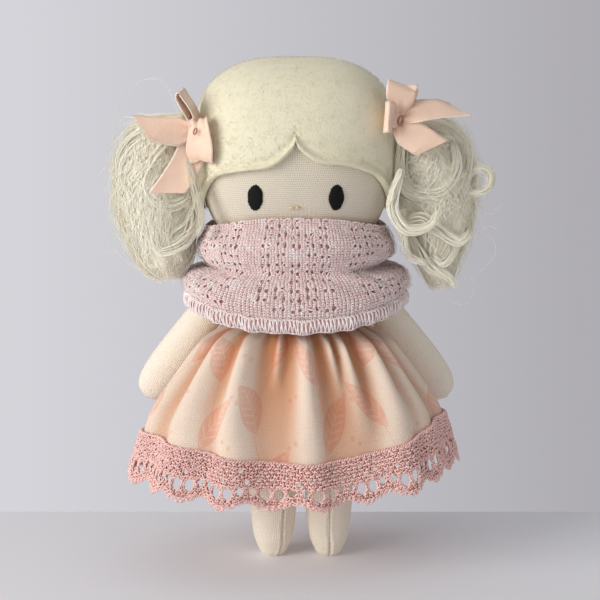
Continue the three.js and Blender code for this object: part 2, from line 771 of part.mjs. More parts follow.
// A neck seam of thread, run round the neck just under the head
function neckThreadForm() {
  const z = headMiddleZ - headDrop - gap - threadRadius;
  const [halfWidth, halfDepth] = along(torsoStations, z - threadRadius)
    .map((size) => size + gap * 1.5 + threadRadius);
  const ring = new THREE.TorusGeometry(halfWidth, threadRadius, 5, 24);
  ring.scale(1, halfDepth / halfWidth, 1);
  return moved(ring, 0, 0, z);
}

// A bow's stitch is a small knob of thread, in front of what it holds: the left bow's front loop
// lies over its knot, and the right bow's is folded away to one side
function bowStitchForm(x, knotZ, out) {
  const knob = new THREE.SphereGeometry(bowStitchRadius, 8, 6);
  return moved(knob, x, bowY - out - gap - bowStitchRadius, knotZ);
}
const overFrontLoop = frontLoopOut * ribbonWidth + ribbonThickness;
const overKnot = ribbonKnot * knotDepthShare - gap;

function shoulderThreadForm() {
  const knotX = armPivotX + armReach + gap + knotRadius;
  const knots = [-1, 1].map((side) => moved(
    new THREE.SphereGeometry(knotRadius, 8, 6), side * knotX, threadY, shoulderZ,
  ));
  return joined(threadRod(threadRadius, knotX), ...knots);
}

const threadHole = threadRod(threadRadius + gap, armPivotX + armRadiusTop * 2);
const torso = cut(torsoForm(), headForm(gap), threadHole);

function material(color, roughness) {
  return new THREE.MeshStandardMaterial({ color, roughness, metalness: 0 });
}

const linen = material('#ebddc6', 0.9);
const felt = material('#f0ebcc', 0.95);
const mohair = material('#efe6c4', 0.8);
const ribbonSatin = material('#f8d0b8', 0.4);
const knit = material('#ecd2d2', 0.95);
const hemThread = material('#f2dcdc', 0.85);
const printedCotton = material('#f6e3d2', 0.9);
const crochet = material('#dd9b92', 0.85);
const blackThread = material('#0c0c0e', 0.6);
const beigeThread = material('#e3cdb0', 0.8);
const peachThread = material('#f0bfa6', 0.7);
const elasticBand = material('#f5f3ee', 0.7);

const pieces = [
  ['head', headForm(0), linen],
  ['torso', torso, linen],
  ['arm_left', cut(armForm(-1), threadHole), linen],
  ['arm_right', cut(armForm(1), threadHole), linen],
  ['leg_left', legForm(-1), linen],
  ['leg_right', legForm(1), linen],
  ['hair_front', kept(feltShell, fringeRegion()), felt],
  ['hair_back', kept(feltShell, capBackRegion()), felt],
  ['pigtail_left', pigtailForm(-1, leftLock, 4), mohair],
  ['pigtail_right', pigtailForm(1, rightLock, 5), mohair],
  ['bow_left', bowForm(leftBow, -1, leftBowZ), ribbonSatin],
  ['bow_right', bowForm(rightBow, 1, rightBowZ), ribbonSatin],
  ['bow_stitch_left', bowStitchForm(-bowX, leftBowZ, overFrontLoop), peachThread],
  ['bow_stitch_right', bowStitchForm(bowX + ribbonKnot * 0.3, rightBowZ, overKnot), peachThread],
  ['eye_left', facePad(-eyeSpacing / 2, eyeZ, eyeWidth, eyeHeight), blackThread],
  ['eye_right', facePad(eyeSpacing / 2, eyeZ, eyeWidth, eyeHeight), blackThread],
  ['nose_stitch', facePad(-0.5, noseZ, noseWidth, noseHeight), beigeThread],
  ['neck_thread', neckThreadForm(), beigeThread],
  ['shoulder_thread', shoulderThreadForm(), beigeThread],
  ['cowl', cowlForm(), knit],
  ['cowl_hem', cowlHemForm(), hemThread],
  ['skirt', skirtForm(), printedCotton],
  ['waist_elastic', elasticForm(), elasticBand],
  ['lace_trim', laceForm(), crochet],
];

const doll = new THREE.Group();
doll.name = 'doll';
pieces.forEach(([name, geometry, finish]) => {
  const mesh = new THREE.Mesh(geometry, finish);
  mesh.name = name;
  doll.add(mesh);
});

export default doll;
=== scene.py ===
"""A small sewn cloth doll: linen skin, felt and mohair hair, ribbon bows, knitted cowl, printed
skirt with a crocheted trim. Sizes are in millimetres and are put into the meshes as metres."""
import math

import bpy
import numpy as np
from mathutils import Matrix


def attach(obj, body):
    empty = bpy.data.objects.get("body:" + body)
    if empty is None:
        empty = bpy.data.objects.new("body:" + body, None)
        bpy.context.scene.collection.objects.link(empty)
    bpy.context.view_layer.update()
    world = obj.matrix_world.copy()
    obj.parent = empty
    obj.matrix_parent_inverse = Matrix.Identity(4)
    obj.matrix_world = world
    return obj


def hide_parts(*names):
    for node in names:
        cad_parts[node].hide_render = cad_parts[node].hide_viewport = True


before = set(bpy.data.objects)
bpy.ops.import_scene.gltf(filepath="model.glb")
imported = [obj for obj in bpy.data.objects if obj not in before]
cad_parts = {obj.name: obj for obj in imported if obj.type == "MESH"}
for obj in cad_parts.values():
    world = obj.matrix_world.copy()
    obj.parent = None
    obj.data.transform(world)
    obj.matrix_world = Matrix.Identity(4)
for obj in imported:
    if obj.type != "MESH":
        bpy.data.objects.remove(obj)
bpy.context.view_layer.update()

# The view: a camera ten degrees above the doll's front and half a metre off, a pale table that
# ends behind the doll, a wall colour beyond it that is painted lighter at the left and darker at
# the right as painted shade, and plain soft light, mostly from the left.
MM = 0.001
frame_pixels = 600
focal_pixels = 1522
camera_pitch = math.radians(10)
camera_distance = 500 * MM
aim = np.array([1.3, 0, 82.5]) * MM
aim_below_middle = 12.5
table_edge_y = 46 * MM
table_reach = 0.9
table_thickness = 4 * MM
table_white = (0.92, 0.91, 0.94, 1)
# The wall's two colours: painted light at the left and painted shade at the right.
wall_lit_left, wall_shaded_right = (0.66, 0.66, 0.70, 1), (0.43, 0.42, 0.45, 1)
room_colour, room_strength = (0.95, 0.96, 1.0, 1), 0.42

camera_data = bpy.data.cameras.new("camera")
camera_data.sensor_width = 36
camera_data.lens = focal_pixels / frame_pixels * camera_data.sensor_width
camera_data.shift_y = aim_below_middle / frame_pixels
camera_data.clip_start = 0.01
camera = bpy.data.objects.new("camera", camera_data)
camera.location = aim + camera_distance * np.array(
    [0, -math.cos(camera_pitch), math.sin(camera_pitch)])
camera.rotation_euler = (math.pi / 2 - camera_pitch, 0, 0)
bpy.context.scene.collection.objects.link(camera)
bpy.context.scene.camera = camera

scene = bpy.context.scene
scene.view_settings.view_transform = "Standard"


def soft_lamp(name, place, target, width, power, colour):
    """A square lamp at a place, turned to face the target."""
    data = bpy.data.lights.new(name, "AREA")
    data.size = width
    data.energy = power
    data.color = colour
    lamp = bpy.data.objects.new(name, data)
    lamp.location = place
    away = np.array(place) - np.array(target)
    lamp.rotation_mode = "XYZ"
    lamp.rotation_euler = (
        math.atan2(math.hypot(away[0], away[1]), away[2]), 0,
        math.atan2(away[1], away[0]) + math.pi / 2)
    scene.collection.objects.link(lamp)


chest = (0, 0, 0.09)
soft_lamp("window", (-0.92, -0.60, 0.42), chest, 0.7, 9.8, (1.0, 0.985, 0.96))
soft_lamp("room", (0.8, -0.75, 0.30), chest, 0.9, 0.7, (0.98, 0.98, 1.0))

world = bpy.data.worlds.new("room")
scene.world = world
world.use_nodes = True
room = world.node_tree
room.nodes.clear()
direction = room.nodes.new("ShaderNodeTexCoord").outputs["Generated"]
sideways = room.nodes.new("ShaderNodeSeparateXYZ")
room.links.new(direction, sideways.inputs[0])
# The wall colour runs from lighter at the left to darker at the right: painted shade, falling away
# from the window lamp.
wall_shade_ramp = room.nodes.new("ShaderNodeValToRGB")
for stop, position, colour in zip(
        wall_shade_ramp.color_ramp.elements, (0.32, 0.68), (wall_lit_left, wall_shaded_right)):
    stop.position, stop.color = position, colour
spread = room.nodes.new("ShaderNodeMath")
spread.operation = "MULTIPLY_ADD"
spread.inputs[1].default_value = 1.0
spread.inputs[2].default_value = 0.5
room.links.new(sideways.outputs["X"], spread.inputs[0])
room.links.new(spread.outputs[0], wall_shade_ramp.inputs[0])
wall_seen = room.nodes.new("ShaderNodeBackground")
room.links.new(wall_shade_ramp.outputs[0], wall_seen.inputs["Color"])
room_light = room.nodes.new("ShaderNodeBackground")
room_light.inputs["Color"].default_value = room_colour
room_light.inputs["Strength"].default_value = room_strength
rays = room.nodes.new("ShaderNodeLightPath")
either = room.nodes.new("ShaderNodeMixShader")
plain_view = rays.outputs["Is Camera Ray"]
for other_rays in ("Is Glossy Ray", "Is Transmission Ray"):
    larger = room.nodes.new("ShaderNodeMath")
    larger.operation = "MAXIMUM"
    room.links.new(plain_view, larger.inputs[0])
    room.links.new(rays.outputs[other_rays], larger.inputs[1])
    plain_view = larger.outputs[0]
room.links.new(plain_view, either.inputs[0])
room.links.new(room_light.outputs[0], either.inputs[1])
room.links.new(wall_seen.outputs[0], either.inputs[2])
room_out = room.nodes.new("ShaderNodeOutputWorld")
room.links.new(either.outputs[0], room_out.inputs[0])

table_corners = np.array([
    [x, y, z] for x in (-table_reach, table_reach) for y in (-table_reach, table_edge_y)
    for z in (-table_thickness, 0)])
table_mesh = bpy.data.meshes.new("table")
table_mesh.from_pydata(
    table_corners.tolist(), [],
    [(0, 1, 3, 2), (4, 6, 7, 5), (0, 4, 5, 1), (2, 3, 7, 6), (0, 2, 6, 4), (1, 5, 7, 3)])
table = bpy.data.objects.new("table", table_mesh)
scene.collection.objects.link(table)
table_paint = bpy.data.materials.new("table_paint")
table_paint.use_nodes = True
table_shader = table_paint.node_tree.nodes["Principled BSDF"]
table_shader.inputs["Base Color"].default_value = table_white
table_shader.inputs["Roughness"].default_value = 0.75
table_mesh.materials.append(table_paint)

# Head: a ball of cream linen, flat-sewn and stuffed hard, fuller across than deep. The neck
# stub ends just under it, and its one visible side is a plain woven face.
head_middle_z = 136
head_half_width, head_half_depth = 30.7, 24
head_rise, head_drop = 27.4, 34
head_front_roundness, head_side_roundness, head_plan_roundness = 2.8, 2.2, 2.3
linen_pitch = 0.68


def put_mesh(name, points, faces, cloth=None):
    """A smooth closed mesh from points in millimetres. faces is a list of arrays with 3 or 4
    point numbers in a row, and cloth has a pair of millimetres for each face corner in turn.
    The volume by summed tetrahedra says whether the faces look outwards."""
    points = np.asarray(points, float)
    volume = 0.0
    for block in faces:
        for k in range(1, block.shape[1] - 1):
            a, b, c = points[block[:, 0]], points[block[:, k]], points[block[:, k + 1]]
            volume += np.einsum("ij,ij->", a, np.cross(b, c))
    if volume < 0:
        faces = [block[:, ::-1] for block in faces]
        if cloth is not None:
            cloth = [corners[:, ::-1] for corners in cloth]
    mesh = bpy.data.meshes.new(name)
    mesh.vertices.add(len(points))
    mesh.vertices.foreach_set("co", (points * MM).astype(np.float32).ravel())
    corner_points = np.concatenate([block.ravel() for block in faces]).astype(np.int32)
    counts = np.concatenate([np.full(len(block), block.shape[1]) for block in faces])
    starts = np.concatenate([[0], np.cumsum(counts)[:-1]]).astype(np.int32)
    mesh.loops.add(len(corner_points))
    mesh.loops.foreach_set("vertex_index", corner_points)
    mesh.polygons.add(len(counts))
    mesh.polygons.foreach_set("loop_start", starts)
    mesh.polygons.foreach_set("use_smooth", np.ones(len(counts), bool))
    if cloth is not None:
        pairs = np.concatenate([corners.reshape(-1, 2) for corners in cloth])
        mesh.uv_layers.new(name="cloth").data.foreach_set(
            "uv", pairs.astype(np.float32).ravel())
    mesh.update(calc_edges=True)
    piece = bpy.data.objects.new(name, mesh)
    scene.collection.objects.link(piece)
    return piece


def cell_corners(grid):
    """The four corners of each cell of a grid, in order round it."""
    return np.stack([grid[:-1, :-1], grid[:-1, 1:], grid[1:, 1:], grid[1:, :-1]], axis=2)


def skin(name, points, cloth=None, poles=False, ring=False):
    """A closed skin over a grid of points [row, column]. Columns run round and join up. With
    poles the end rows are single points, and with ring the last row joins the first. cloth
    holds a pair for each point, with one column more than points and with ring one row more."""
    rows, columns = points.shape[:2]
    ids = np.arange(rows * columns).reshape(rows, columns)
    flat = points.reshape(-1, 3)
    if poles:
        ids = np.clip(ids - (columns - 1), 0, 1 + (rows - 2) * columns)
        flat = np.concatenate([points[0, :1], points[1:-1].reshape(-1, 3), points[-1, :1]])
    if ring:
        ids = np.vstack([ids, ids[:1]])
    quads = cell_corners(np.hstack([ids, ids[:, :1]]))
    pairs = None if cloth is None else cell_corners(cloth)
    if not poles:
        return put_mesh(name, flat, [quads.reshape(-1, 4)],
                        None if pairs is None else [pairs.reshape(-1, 4, 2)])
    faces = [quads[1:-1].reshape(-1, 4), quads[0][:, [0, 2, 3]], quads[-1][:, [0, 1, 2]]]
    if pairs is not None:
        pairs = [pairs[1:-1].reshape(-1, 4, 2), pairs[0][:, [0, 2, 3]], pairs[-1][:, [0, 1, 2]]]
    return put_mesh(name, flat, faces, pairs)


def power(value, exponent):
    """The value's size raised to the exponent, with its sign kept."""
    return np.sign(value) * np.abs(value) ** exponent


def reach(share, roundness):
    """How far a rounded-off outline goes sideways at a share of its half height."""
    return (1 - np.abs(share) ** roundness) ** (1 / roundness)


def head_size(z, margin):
    """The head's half width and half depth at a height, grown outwards by a margin."""
    half = np.where(z > head_middle_z, head_rise, head_drop) + margin
    share = np.minimum(np.abs(z - head_middle_z) / half, 1)
    return ((head_half_width + margin) * reach(share, head_front_roundness),
            (head_half_depth + margin) * reach(share, head_side_roundness))


def oval(turn, half_width, half_depth, roundness):
    """A point on a rounded oval, from turn 0 at the front through +X."""
    angle = turn * math.tau
    return (half_width * power(np.sin(angle), 2 / roundness),
            -half_depth * power(np.cos(angle), 2 / roundness))


def level_rows(z, half_width, half_depth, columns, roundness):
    """Points [row, column] of level ovals, one at each height."""
    turns = np.arange(columns) / columns
    x, y = oval(turns[None], half_width[:, None], half_depth[:, None], roundness)
    return np.stack([x, y, np.broadcast_to(z[:, None], x.shape)], axis=2)


def path_lengths(paths):
    """Millimetres along paths [..., station, place] at each station, from 0."""
    steps = np.linalg.norm(np.diff(paths, axis=-2), axis=-1)
    return np.concatenate([np.zeros((*steps.shape[:-1], 1)), np.cumsum(steps, axis=-1)], axis=-1)


def cloth_lengths(points, seam_turn=0.5):
    """Millimetres along the cloth at each point of a grid that runs round: across from the seam
    turn, and up. One column more than the grid has, so that the seam can close."""
    closed = np.concatenate([points, points[:, :1]], axis=1)
    across = path_lengths(closed)
    seam = int(round(seam_turn * points.shape[1]))
    across = across - across[:, seam:seam + 1]
    up = np.linalg.norm(np.diff(closed, axis=0), axis=2).mean(axis=1)
    up = np.concatenate([[0], np.cumsum(up)])
    return np.stack([across, np.broadcast_to(up[:, None], across.shape)], axis=2)


class Number:
    """A number or colour that a node gives out. Each sum with it makes one Math node."""

    def __init__(self, tree, output):
        self.tree, self.output = tree, output

    def by(self, operation, *others, first=None):
        """The Math node's output for this number and others, or for a first one and this."""
        node = self.tree.nodes.new("ShaderNodeMath")
        node.operation = operation
        values = (self, *others) if first is None else (first, self)
        for socket, value in zip(node.inputs, values):
            put_in(self.tree, value, socket)
        return Number(self.tree, node.outputs[0])

    def __add__(self, other):
        return self.by("ADD", other)

    def __sub__(self, other):
        return self.by("SUBTRACT", other)

    def __rsub__(self, other):
        return self.by("SUBTRACT", first=other)

    def __mul__(self, other):
        return self.by("MULTIPLY", other)

    def __truediv__(self, other):
        return self.by("DIVIDE", other)

    def __mod__(self, other):
        return self.by("FLOORED_MODULO", other)

    def __pow__(self, other):
        return self.by("POWER", other)

    def __gt__(self, other):
        return self.by("GREATER_THAN", other)

    def __abs__(self):
        return self.by("ABSOLUTE")


def put_in(tree, value, socket):
    """Sets a socket to a number or a colour, or links a node's output to it."""
    if isinstance(value, Number):
        tree.links.new(value.output, socket)
    elif isinstance(value, tuple):
        socket.default_value = (*value, 1)
    else:
        socket.default_value = value


class Finish:
    """A material in the making, and the nodes that its colour and height are built up from."""

    def __init__(self, name, roughness, sheen, sheen_tint=(1, 1, 1), specular=0.25, brushed=0.0):
        self.material = bpy.data.materials.new(name)
        self.material.use_nodes = True
        self.tree = self.material.node_tree
        self.shader = self.tree.nodes["Principled BSDF"]
        for socket, value in (
                ("Roughness", roughness), ("Specular IOR Level", specular),
                ("Anisotropic", brushed), ("Sheen Weight", sheen), ("Sheen Roughness", 0.5),
                ("Sheen Tint", sheen_tint)):
            put_in(self.tree, value, self.shader.inputs[socket])

    def node(self, kind, output, **values):
        """One output of a new node, whose sockets of those names are filled."""
        node = self.tree.nodes.new(kind)
        for name, value in values.items():
            put_in(self.tree, value, node.inputs[name])
        return Number(self.tree, node.outputs[output])

    def solid_place(self):
        """Object coordinates, in metres."""
        return self.node("ShaderNodeTexCoord", "Object")

    def cloth_place(self):
        """The cloth's own millimetres as a vector, and its two parts."""
        place = self.tree.nodes.new("ShaderNodeUVMap")
        place.uv_map = "cloth"
        parts = self.tree.nodes.new("ShaderNodeSeparateXYZ")
        self.tree.links.new(place.outputs[0], parts.inputs[0])
        return [Number(self.tree, output) for output in (place.outputs[0], *parts.outputs[:2])]

    def attribute(self, name):
        """A number that the mesh holds for each of its points."""
        node = self.tree.nodes.new("ShaderNodeAttribute")
        node.attribute_name = name
        return Number(self.tree, node.outputs["Fac"])

    def noise(self, place, scale, detail=2.0, rough=0.5):
        """Soft noise with about this many blotches to each unit of the place."""
        return self.node("ShaderNodeTexNoise", "Fac", Vector=place, Scale=scale, Detail=detail,
                         Roughness=rough)

    def twist(self, place, scale, distortion):
        """Slanting stripes of light and dark, for the twist of a thread."""
        stripes = self.node("ShaderNodeTexWave", "Fac", Vector=place, Scale=scale,
                            Distortion=distortion)
        stripes.output.node.bands_direction = "DIAGONAL"
        return stripes

    def mix(self, share, first, second, way="MIX"):
        """The mix of two colours at a share."""
        node = self.tree.nodes.new("ShaderNodeMix")
        node.data_type = "RGBA"
        node.blend_type = way
        for socket, value in zip(
                (node.inputs[0], node.inputs[6], node.inputs[7]), (share, first, second)):
            put_in(self.tree, value, socket)
        return Number(self.tree, node.outputs[2])

    def done(self, colour, height, depth):
        """The material with its colour and its relief, whose depth is in millimetres."""
        put_in(self.tree, colour, self.shader.inputs["Base Color"])
        put_in(self.tree, self.node("ShaderNodeBump", 0, Height=height, Distance=depth * MM),
               self.shader.inputs["Normal"])
        return self.material


def woven(across, up, pitch, wander=None):
    """Plain weave. Returns the open dot between four threads, which is the product of both
    squared cosines, and the height of threads that pass over and under each other."""
    across, up = across * (math.pi / pitch), up * (math.pi / pitch)
    if wander is not None:
        across, up = across + wander, up + wander
    dot = abs(across.by("COSINE")) ** 2.0 * abs(up.by("COSINE")) ** 2.0
    return dot, across.by("SINE") * up.by("SINE") * 0.3 - dot


def linen_finish(name, cream, shade):
    """Cream linen: plain weave with darker dots between threads, slubs, faint warm blotches,
    and a pressed seam with fine stitches along the line where the cloth's width starts. The seam
    is painted darker as shade in its groove, and darker still at the stitches."""
    finish = Finish(name, 0.9, 0.15, (1, 0.97, 0.9))
    place, across, up = finish.cloth_place()
    slub = finish.noise(place, 0.35, 3)
    blotch = finish.noise(place, 0.06, 2)
    dot, height = woven(across, up, linen_pitch, slub * 1.6)
    seam = 1.0 - (abs(across) * 3.4).by("SMOOTH_MIN", 1.0, 0.3)
    seam = seam.by("MAXIMUM", 0.0)
    stitch = (up * 3.4).by("SINE") > -0.2
    colour = finish.mix(dot * 0.66, cream, shade)
    colour = finish.mix(blotch * 0.22, colour, (0.84, 0.75, 0.58))
    colour = finish.mix(slub * 0.18, colour, (0.70, 0.60, 0.45))
    # Painted shade: a darker line along the seam's groove, darker still where the stitches are.
    colour = finish.mix(seam * stitch.by("MULTIPLY_ADD", 0.3, 0.28), colour, (0.45, 0.33, 0.19))
    return finish.done(colour, height + slub * 0.9 - seam * 2.5, 0.09)


linen = linen_finish("linen", (0.985, 0.90, 0.77), (0.74, 0.58, 0.43))
# The face's linen is a darker copy of the limbs' linen: painted shade for the face, which the hair
# shades.
shaded_face_linen = linen_finish("shaded_face_linen", (0.77, 0.71, 0.59), (0.43, 0.32, 0.23))
rows, columns = 72, 120
up_share = -np.cos(np.linspace(0, 1, rows) * math.pi)
head_z = head_middle_z + np.where(up_share > 0, head_rise, head_drop) * power(up_share, 0.85)
half_width, half_depth = head_size(head_z, 0.0)
head_points = level_rows(head_z, half_width, half_depth, columns, head_plan_roundness)
head = skin("head_linen", head_points, cloth_lengths(head_points), poles=True)
head.data.materials.append(shaded_face_linen)
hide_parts("head")
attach(head, "trunk")

# Eyes: padded ovals of black satin stitch, worked crosswise in one strand of stranded cotton.
eye_spacing, eye_z = 25.2, 122.4
eye_width, eye_height = 5.0, 7.8
eye_rise, eye_thread, eye_stitches = 0.75, 0.3, 24


def unit(vectors):
    """The vectors brought to length one."""
    return vectors / np.maximum(np.linalg.norm(vectors, axis=-1, keepdims=True), 1e-9)


def tubes(name, paths, radius, up, sides=6, tones=None, first_corner=0.0):
    """Closed round tubes of one radius along many paths at once: paths [tube, station, 3]. A
    ring lies square to its path at each station but the first and last, which are the points
    that close the tube. up is a direction that no path runs along. Tubes with a tone
    each keep it at all their points and are shaded flat."""
    paths = np.asarray(paths, float)
    count, stations = paths.shape[:2]
    heading = unit(np.gradient(paths, axis=1))
    side = unit(np.cross(heading, np.broadcast_to(up, paths.shape)))
    above = np.cross(side, heading)[:, 1:-1, None]
    side = side[:, 1:-1, None]
    angle = (first_corner + np.arange(sides) / sides * math.tau)[:, None]
    rings = paths[:, 1:-1, None] + radius * (np.cos(angle) * side + np.sin(angle) * above)
    flat = np.concatenate(
        [paths[:, :1], rings.reshape(count, -1, 3), paths[:, -1:]], axis=1)
    ids = 1 + np.arange((stations - 2) * sides).reshape(stations - 2, sides)
    ids = np.hstack([ids, ids[:, :1]])
    last = 1 + (stations - 2) * sides
    quads = cell_corners(ids).reshape(-1, 4)
    start = np.stack([np.zeros(sides, int), ids[0, 1:], ids[0, :-1]], 1)
    end = np.stack([np.full(sides, last), ids[-1, :-1], ids[-1, 1:]], 1)
    shift = (np.arange(count) * (last + 1))[:, None, None]
    faces = [(quads + shift).reshape(-1, 4), (np.concatenate([start, end]) + shift).reshape(-1, 3)]
    piece = put_mesh(name, flat.reshape(-1, 3), faces)
    if tones is not None:
        layer = piece.data.attributes.new("tone", "FLOAT", "POINT")
        layer.data.foreach_set("value", np.repeat(tones, last + 1).astype(np.float32))
        piece.data.polygons.foreach_set("use_smooth", np.zeros(len(piece.data.polygons), bool))
    return piece


def outwards(paths):
    """The level direction away from the doll's upright axis at each place of the paths."""
    return unit(paths * [1.0, 1.0, 0.0])


def face_y(x, z, margin):
    """How far forward the face's surface is at a place, with a margin."""
    half_width, half_depth = head_size(z, margin)
    return -half_depth * reach(np.minimum(np.abs(x) / half_width, 1), head_plan_roundness)


def thread_finish(name, dark, light, roughness=0.55):
    """Twisted thread: a fine slanting stripe of light and dark along Object coordinates."""
    finish = Finish(name, roughness, 0.1, light)
    place = finish.solid_place()
    stripe = finish.twist(place, 900, 2.0)
    colour = finish.mix(stripe, dark, light)
    colour = finish.mix(finish.noise(place, 700, 2) * 0.3, colour, dark)
    return finish.done(colour, stripe, 0.05)


black_thread = thread_finish(
    "black_thread", (0.002, 0.002, 0.002), (0.006, 0.006, 0.007), 0.75)
draw = np.random.default_rng(7)
for name, middle_x in (("eye_left", -eye_spacing / 2), ("eye_right", eye_spacing / 2)):
    each = (eye_stitches, 1)
    height = np.linspace(-0.97, 0.97, eye_stitches)[:, None]
    reach_out = eye_width / 2 * np.sqrt(1 - height ** 2) + draw.uniform(-0.12, 0.2, each)
    share = np.linspace(-1, 1, 13)[None]
    x = middle_x + share * reach_out
    z = eye_z + eye_height / 2 * height + 0.12 * share + draw.uniform(-0.05, 0.05, each)
    crown = eye_rise * np.sqrt(np.maximum(1 - share ** 2, 0)) * (1 - 0.45 * height ** 2)
    y = face_y(x, z, 0.0) + 0.25 - crown
    paths = np.stack([x, y, np.broadcast_to(z, x.shape)], axis=2)
    eye = tubes(name + "_satin_stitch", paths, eye_thread, (0, 0, 1.0))
    eye.data.materials.append(black_thread)
    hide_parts(name)
    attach(eye, "trunk")

# Nose: two short stitches in beige cotton, the right one smaller and in shadow.
nose_x, nose_z, nose_thread = -0.4, 119.2, 0.27
nose_lines = ((-2.2, 0.5, 0.3), (0.2, 1.6, 0.35))  # start and end across, rise
beige_thread = thread_finish("beige_thread", (0.66, 0.48, 0.28), (0.88, 0.78, 0.60))
share = np.linspace(0, 1, 9)
nose_paths = []
for start_x, end_x, rise in nose_lines:
    for step in (-0.17, 0.17):
        x = nose_x + start_x + (end_x - start_x) * share
        z = nose_z + rise * share + step
        y = face_y(x, z, 0.0) + 0.2 - 0.8 * np.sin(share * math.pi) ** 0.5
        nose_paths.append(np.stack([x, y, z], axis=1))
nose = tubes("nose_stitches", nose_paths, nose_thread, (0, 0, 1.0))
nose.data.materials.append(beige_thread)
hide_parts("nose_stitch")
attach(nose, "trunk")

# Hair cap: two shells of thick cream wool felt over the head, sewn together along the side seam
# over the crown. The front one has a parting and two waved lobes with a soft thick edge.
felt_thickness = 1.6
skin_gap = 0.3  # between the skin and what lies on it
parting_z, parting_slit = 137.9, 1.9
fringe_wave_x, fringe_wave_z = 9.4, 132.4
fringe_corner_x, fringe_corner_z = 24.5, 129.0
cap_hem_z = 116.4
cap_seam_y, seam_stitches, seam_thread = 2.0, 84, 0.16
fibre_count, fibre_radius, fibre_half_lengths = 3400, 0.03, (0.5, 1.3)
lip_swell, swell_from_edge, dip_from_edge = 0.8, 1.1, 3.4
felt_cream, felt_shade = (0.885, 0.83, 0.65), (0.66, 0.58, 0.38)
head_middle = np.array([0.0, 0.0, head_middle_z])


def on_head(toward, margin):
    """Where rays from the head's middle leave its outline grown by a margin, by halving."""
    toward = unit(toward)
    margin = np.broadcast_to(margin, toward.shape[:-1])
    near, far = np.zeros(margin.shape), np.full(margin.shape, 60.0)
    for _ in range(34):
        middle = (near + far) / 2
        x, y, z = np.moveaxis(toward * middle[..., None], -1, 0)
        half = np.where(z > 0, head_rise, head_drop) + margin
        half_width, half_depth = head_size(np.clip(z, -half, half) + head_middle_z, margin)
        across = (np.abs(x) / np.maximum(half_width, 1e-6)) ** head_plan_roundness
        deep = (np.abs(y) / np.maximum(half_depth, 1e-6)) ** head_plan_roundness
        outside = (across + deep > 1) | (np.abs(z) > half)
        near, far = np.where(outside, near, middle), np.where(outside, middle, far)
    return head_middle + toward * near[..., None]


def bezier(a, b, c, d, steps):
    """Points of a cubic curve from a to d that heads for b and arrives from c."""
    t = np.linspace(0, 1, steps, endpoint=False)[:, None]
    a, b, c, d = map(np.array, (a, b, c, d))
    return (1 - t) ** 3 * a + 3 * t * (1 - t) ** 2 * b + 3 * t * t * (1 - t) * c + t ** 3 * d


def evenly(points, count):
    """The same path with its points at even distances."""
    length = path_lengths(points)
    place = np.linspace(0, length[-1], count)
    return np.stack([np.interp(place, length, axis) for axis in points.T], axis=1)


def fringe_edge(side, count):
    """Half of the fringe's edge as (x, z), from the parting to the side seam."""
    wave, corner = (fringe_wave_x, fringe_wave_z), (fringe_corner_x, fringe_corner_z)
    top = (0.7, parting_z)
    droop = 0.5 if side > 0 else -1.1
    path = np.concatenate([
        [(0.0, parting_z + parting_slit)],
        bezier(top, (3, parting_z - 2.4), (5.6, fringe_wave_z + 0.6), wave, 12),
        bezier(wave, (15, fringe_wave_z - 0.2), (19.5, fringe_corner_z + 2.2), corner, 12),
        bezier(corner, (27.9, fringe_corner_z - 2.6), (29.7, fringe_corner_z - 7),
               (head_half_width, cap_hem_z), 12),
        [(head_half_width, cap_hem_z)]])
    path[:, 1] += droop * np.sin(np.clip(path[:, 0] / 27, 0, 1) * math.pi)
    return evenly(path, count) * (side, 1)


def seam_arc(share, y):
    """The seam over the crown at shares -1 to 1 of the way from hem to hem, in a plane."""
    end = on_head(np.array([head_half_width, y, cap_hem_z - head_middle_z]), felt_thickness)
    angle = share * math.atan2(end[0], end[2] - head_middle_z)
    toward = np.stack([np.sin(angle), np.zeros_like(angle), np.cos(angle)], axis=1)
    crown = on_head(toward, felt_thickness) - head_middle
    crown[:, 1] = y
    return crown


def bell(away, spread):
    """A bell of height 1 at 0, which has fallen to 0.37 at its spread."""
    return np.exp(-(away / spread) ** 2)


def felt_shell(name, edge, seam, roll):
    """A felt shell between two edges given as points from the head's middle. Each row is a
    closed section: along the inner face to the free edge, round its lip, and back outside. The
    lip swells out by roll, with a dip behind it."""
    lip = np.linspace(-0.5, 0.5, 7)[1:-1] * math.pi
    along_face = np.concatenate([np.linspace(0, 0.12, 10), np.linspace(0.12, 1, 30)[1:]])
    length = np.linalg.norm(seam - edge, axis=1)[:, None] + 1e-6
    lip_share = felt_thickness / 2 * (1 - np.cos(lip)) / length
    inner = np.broadcast_to(felt_thickness / 2 / length + along_face[::-1] * (
        1 - felt_thickness / 2 / length), (len(edge), len(along_face)))
    share = np.concatenate([inner, lip_share, inner[:, ::-1]], axis=1)
    share = np.clip(share, 0, 1)
    middle = skin_gap + felt_thickness / 2
    margin = np.concatenate([
        np.full(inner.shape, skin_gap),
        middle + felt_thickness / 2 * np.sin(lip) + np.zeros((len(edge), 1)),
        np.full(inner.shape, skin_gap + felt_thickness)], axis=1)
    from_edge = share * length
    outside = margin > middle
    rim = roll * bell(from_edge - swell_from_edge, 0.9) - 0.35 * roll * bell(
        from_edge - dip_from_edge, 1.1)
    margin = margin + outside * rim * np.minimum(length / 8, 1)
    toward = edge[:, None] * (1 - share[..., None]) + seam[:, None] * share[..., None]
    points = on_head(toward, margin)
    return skin(name, points, poles=True)


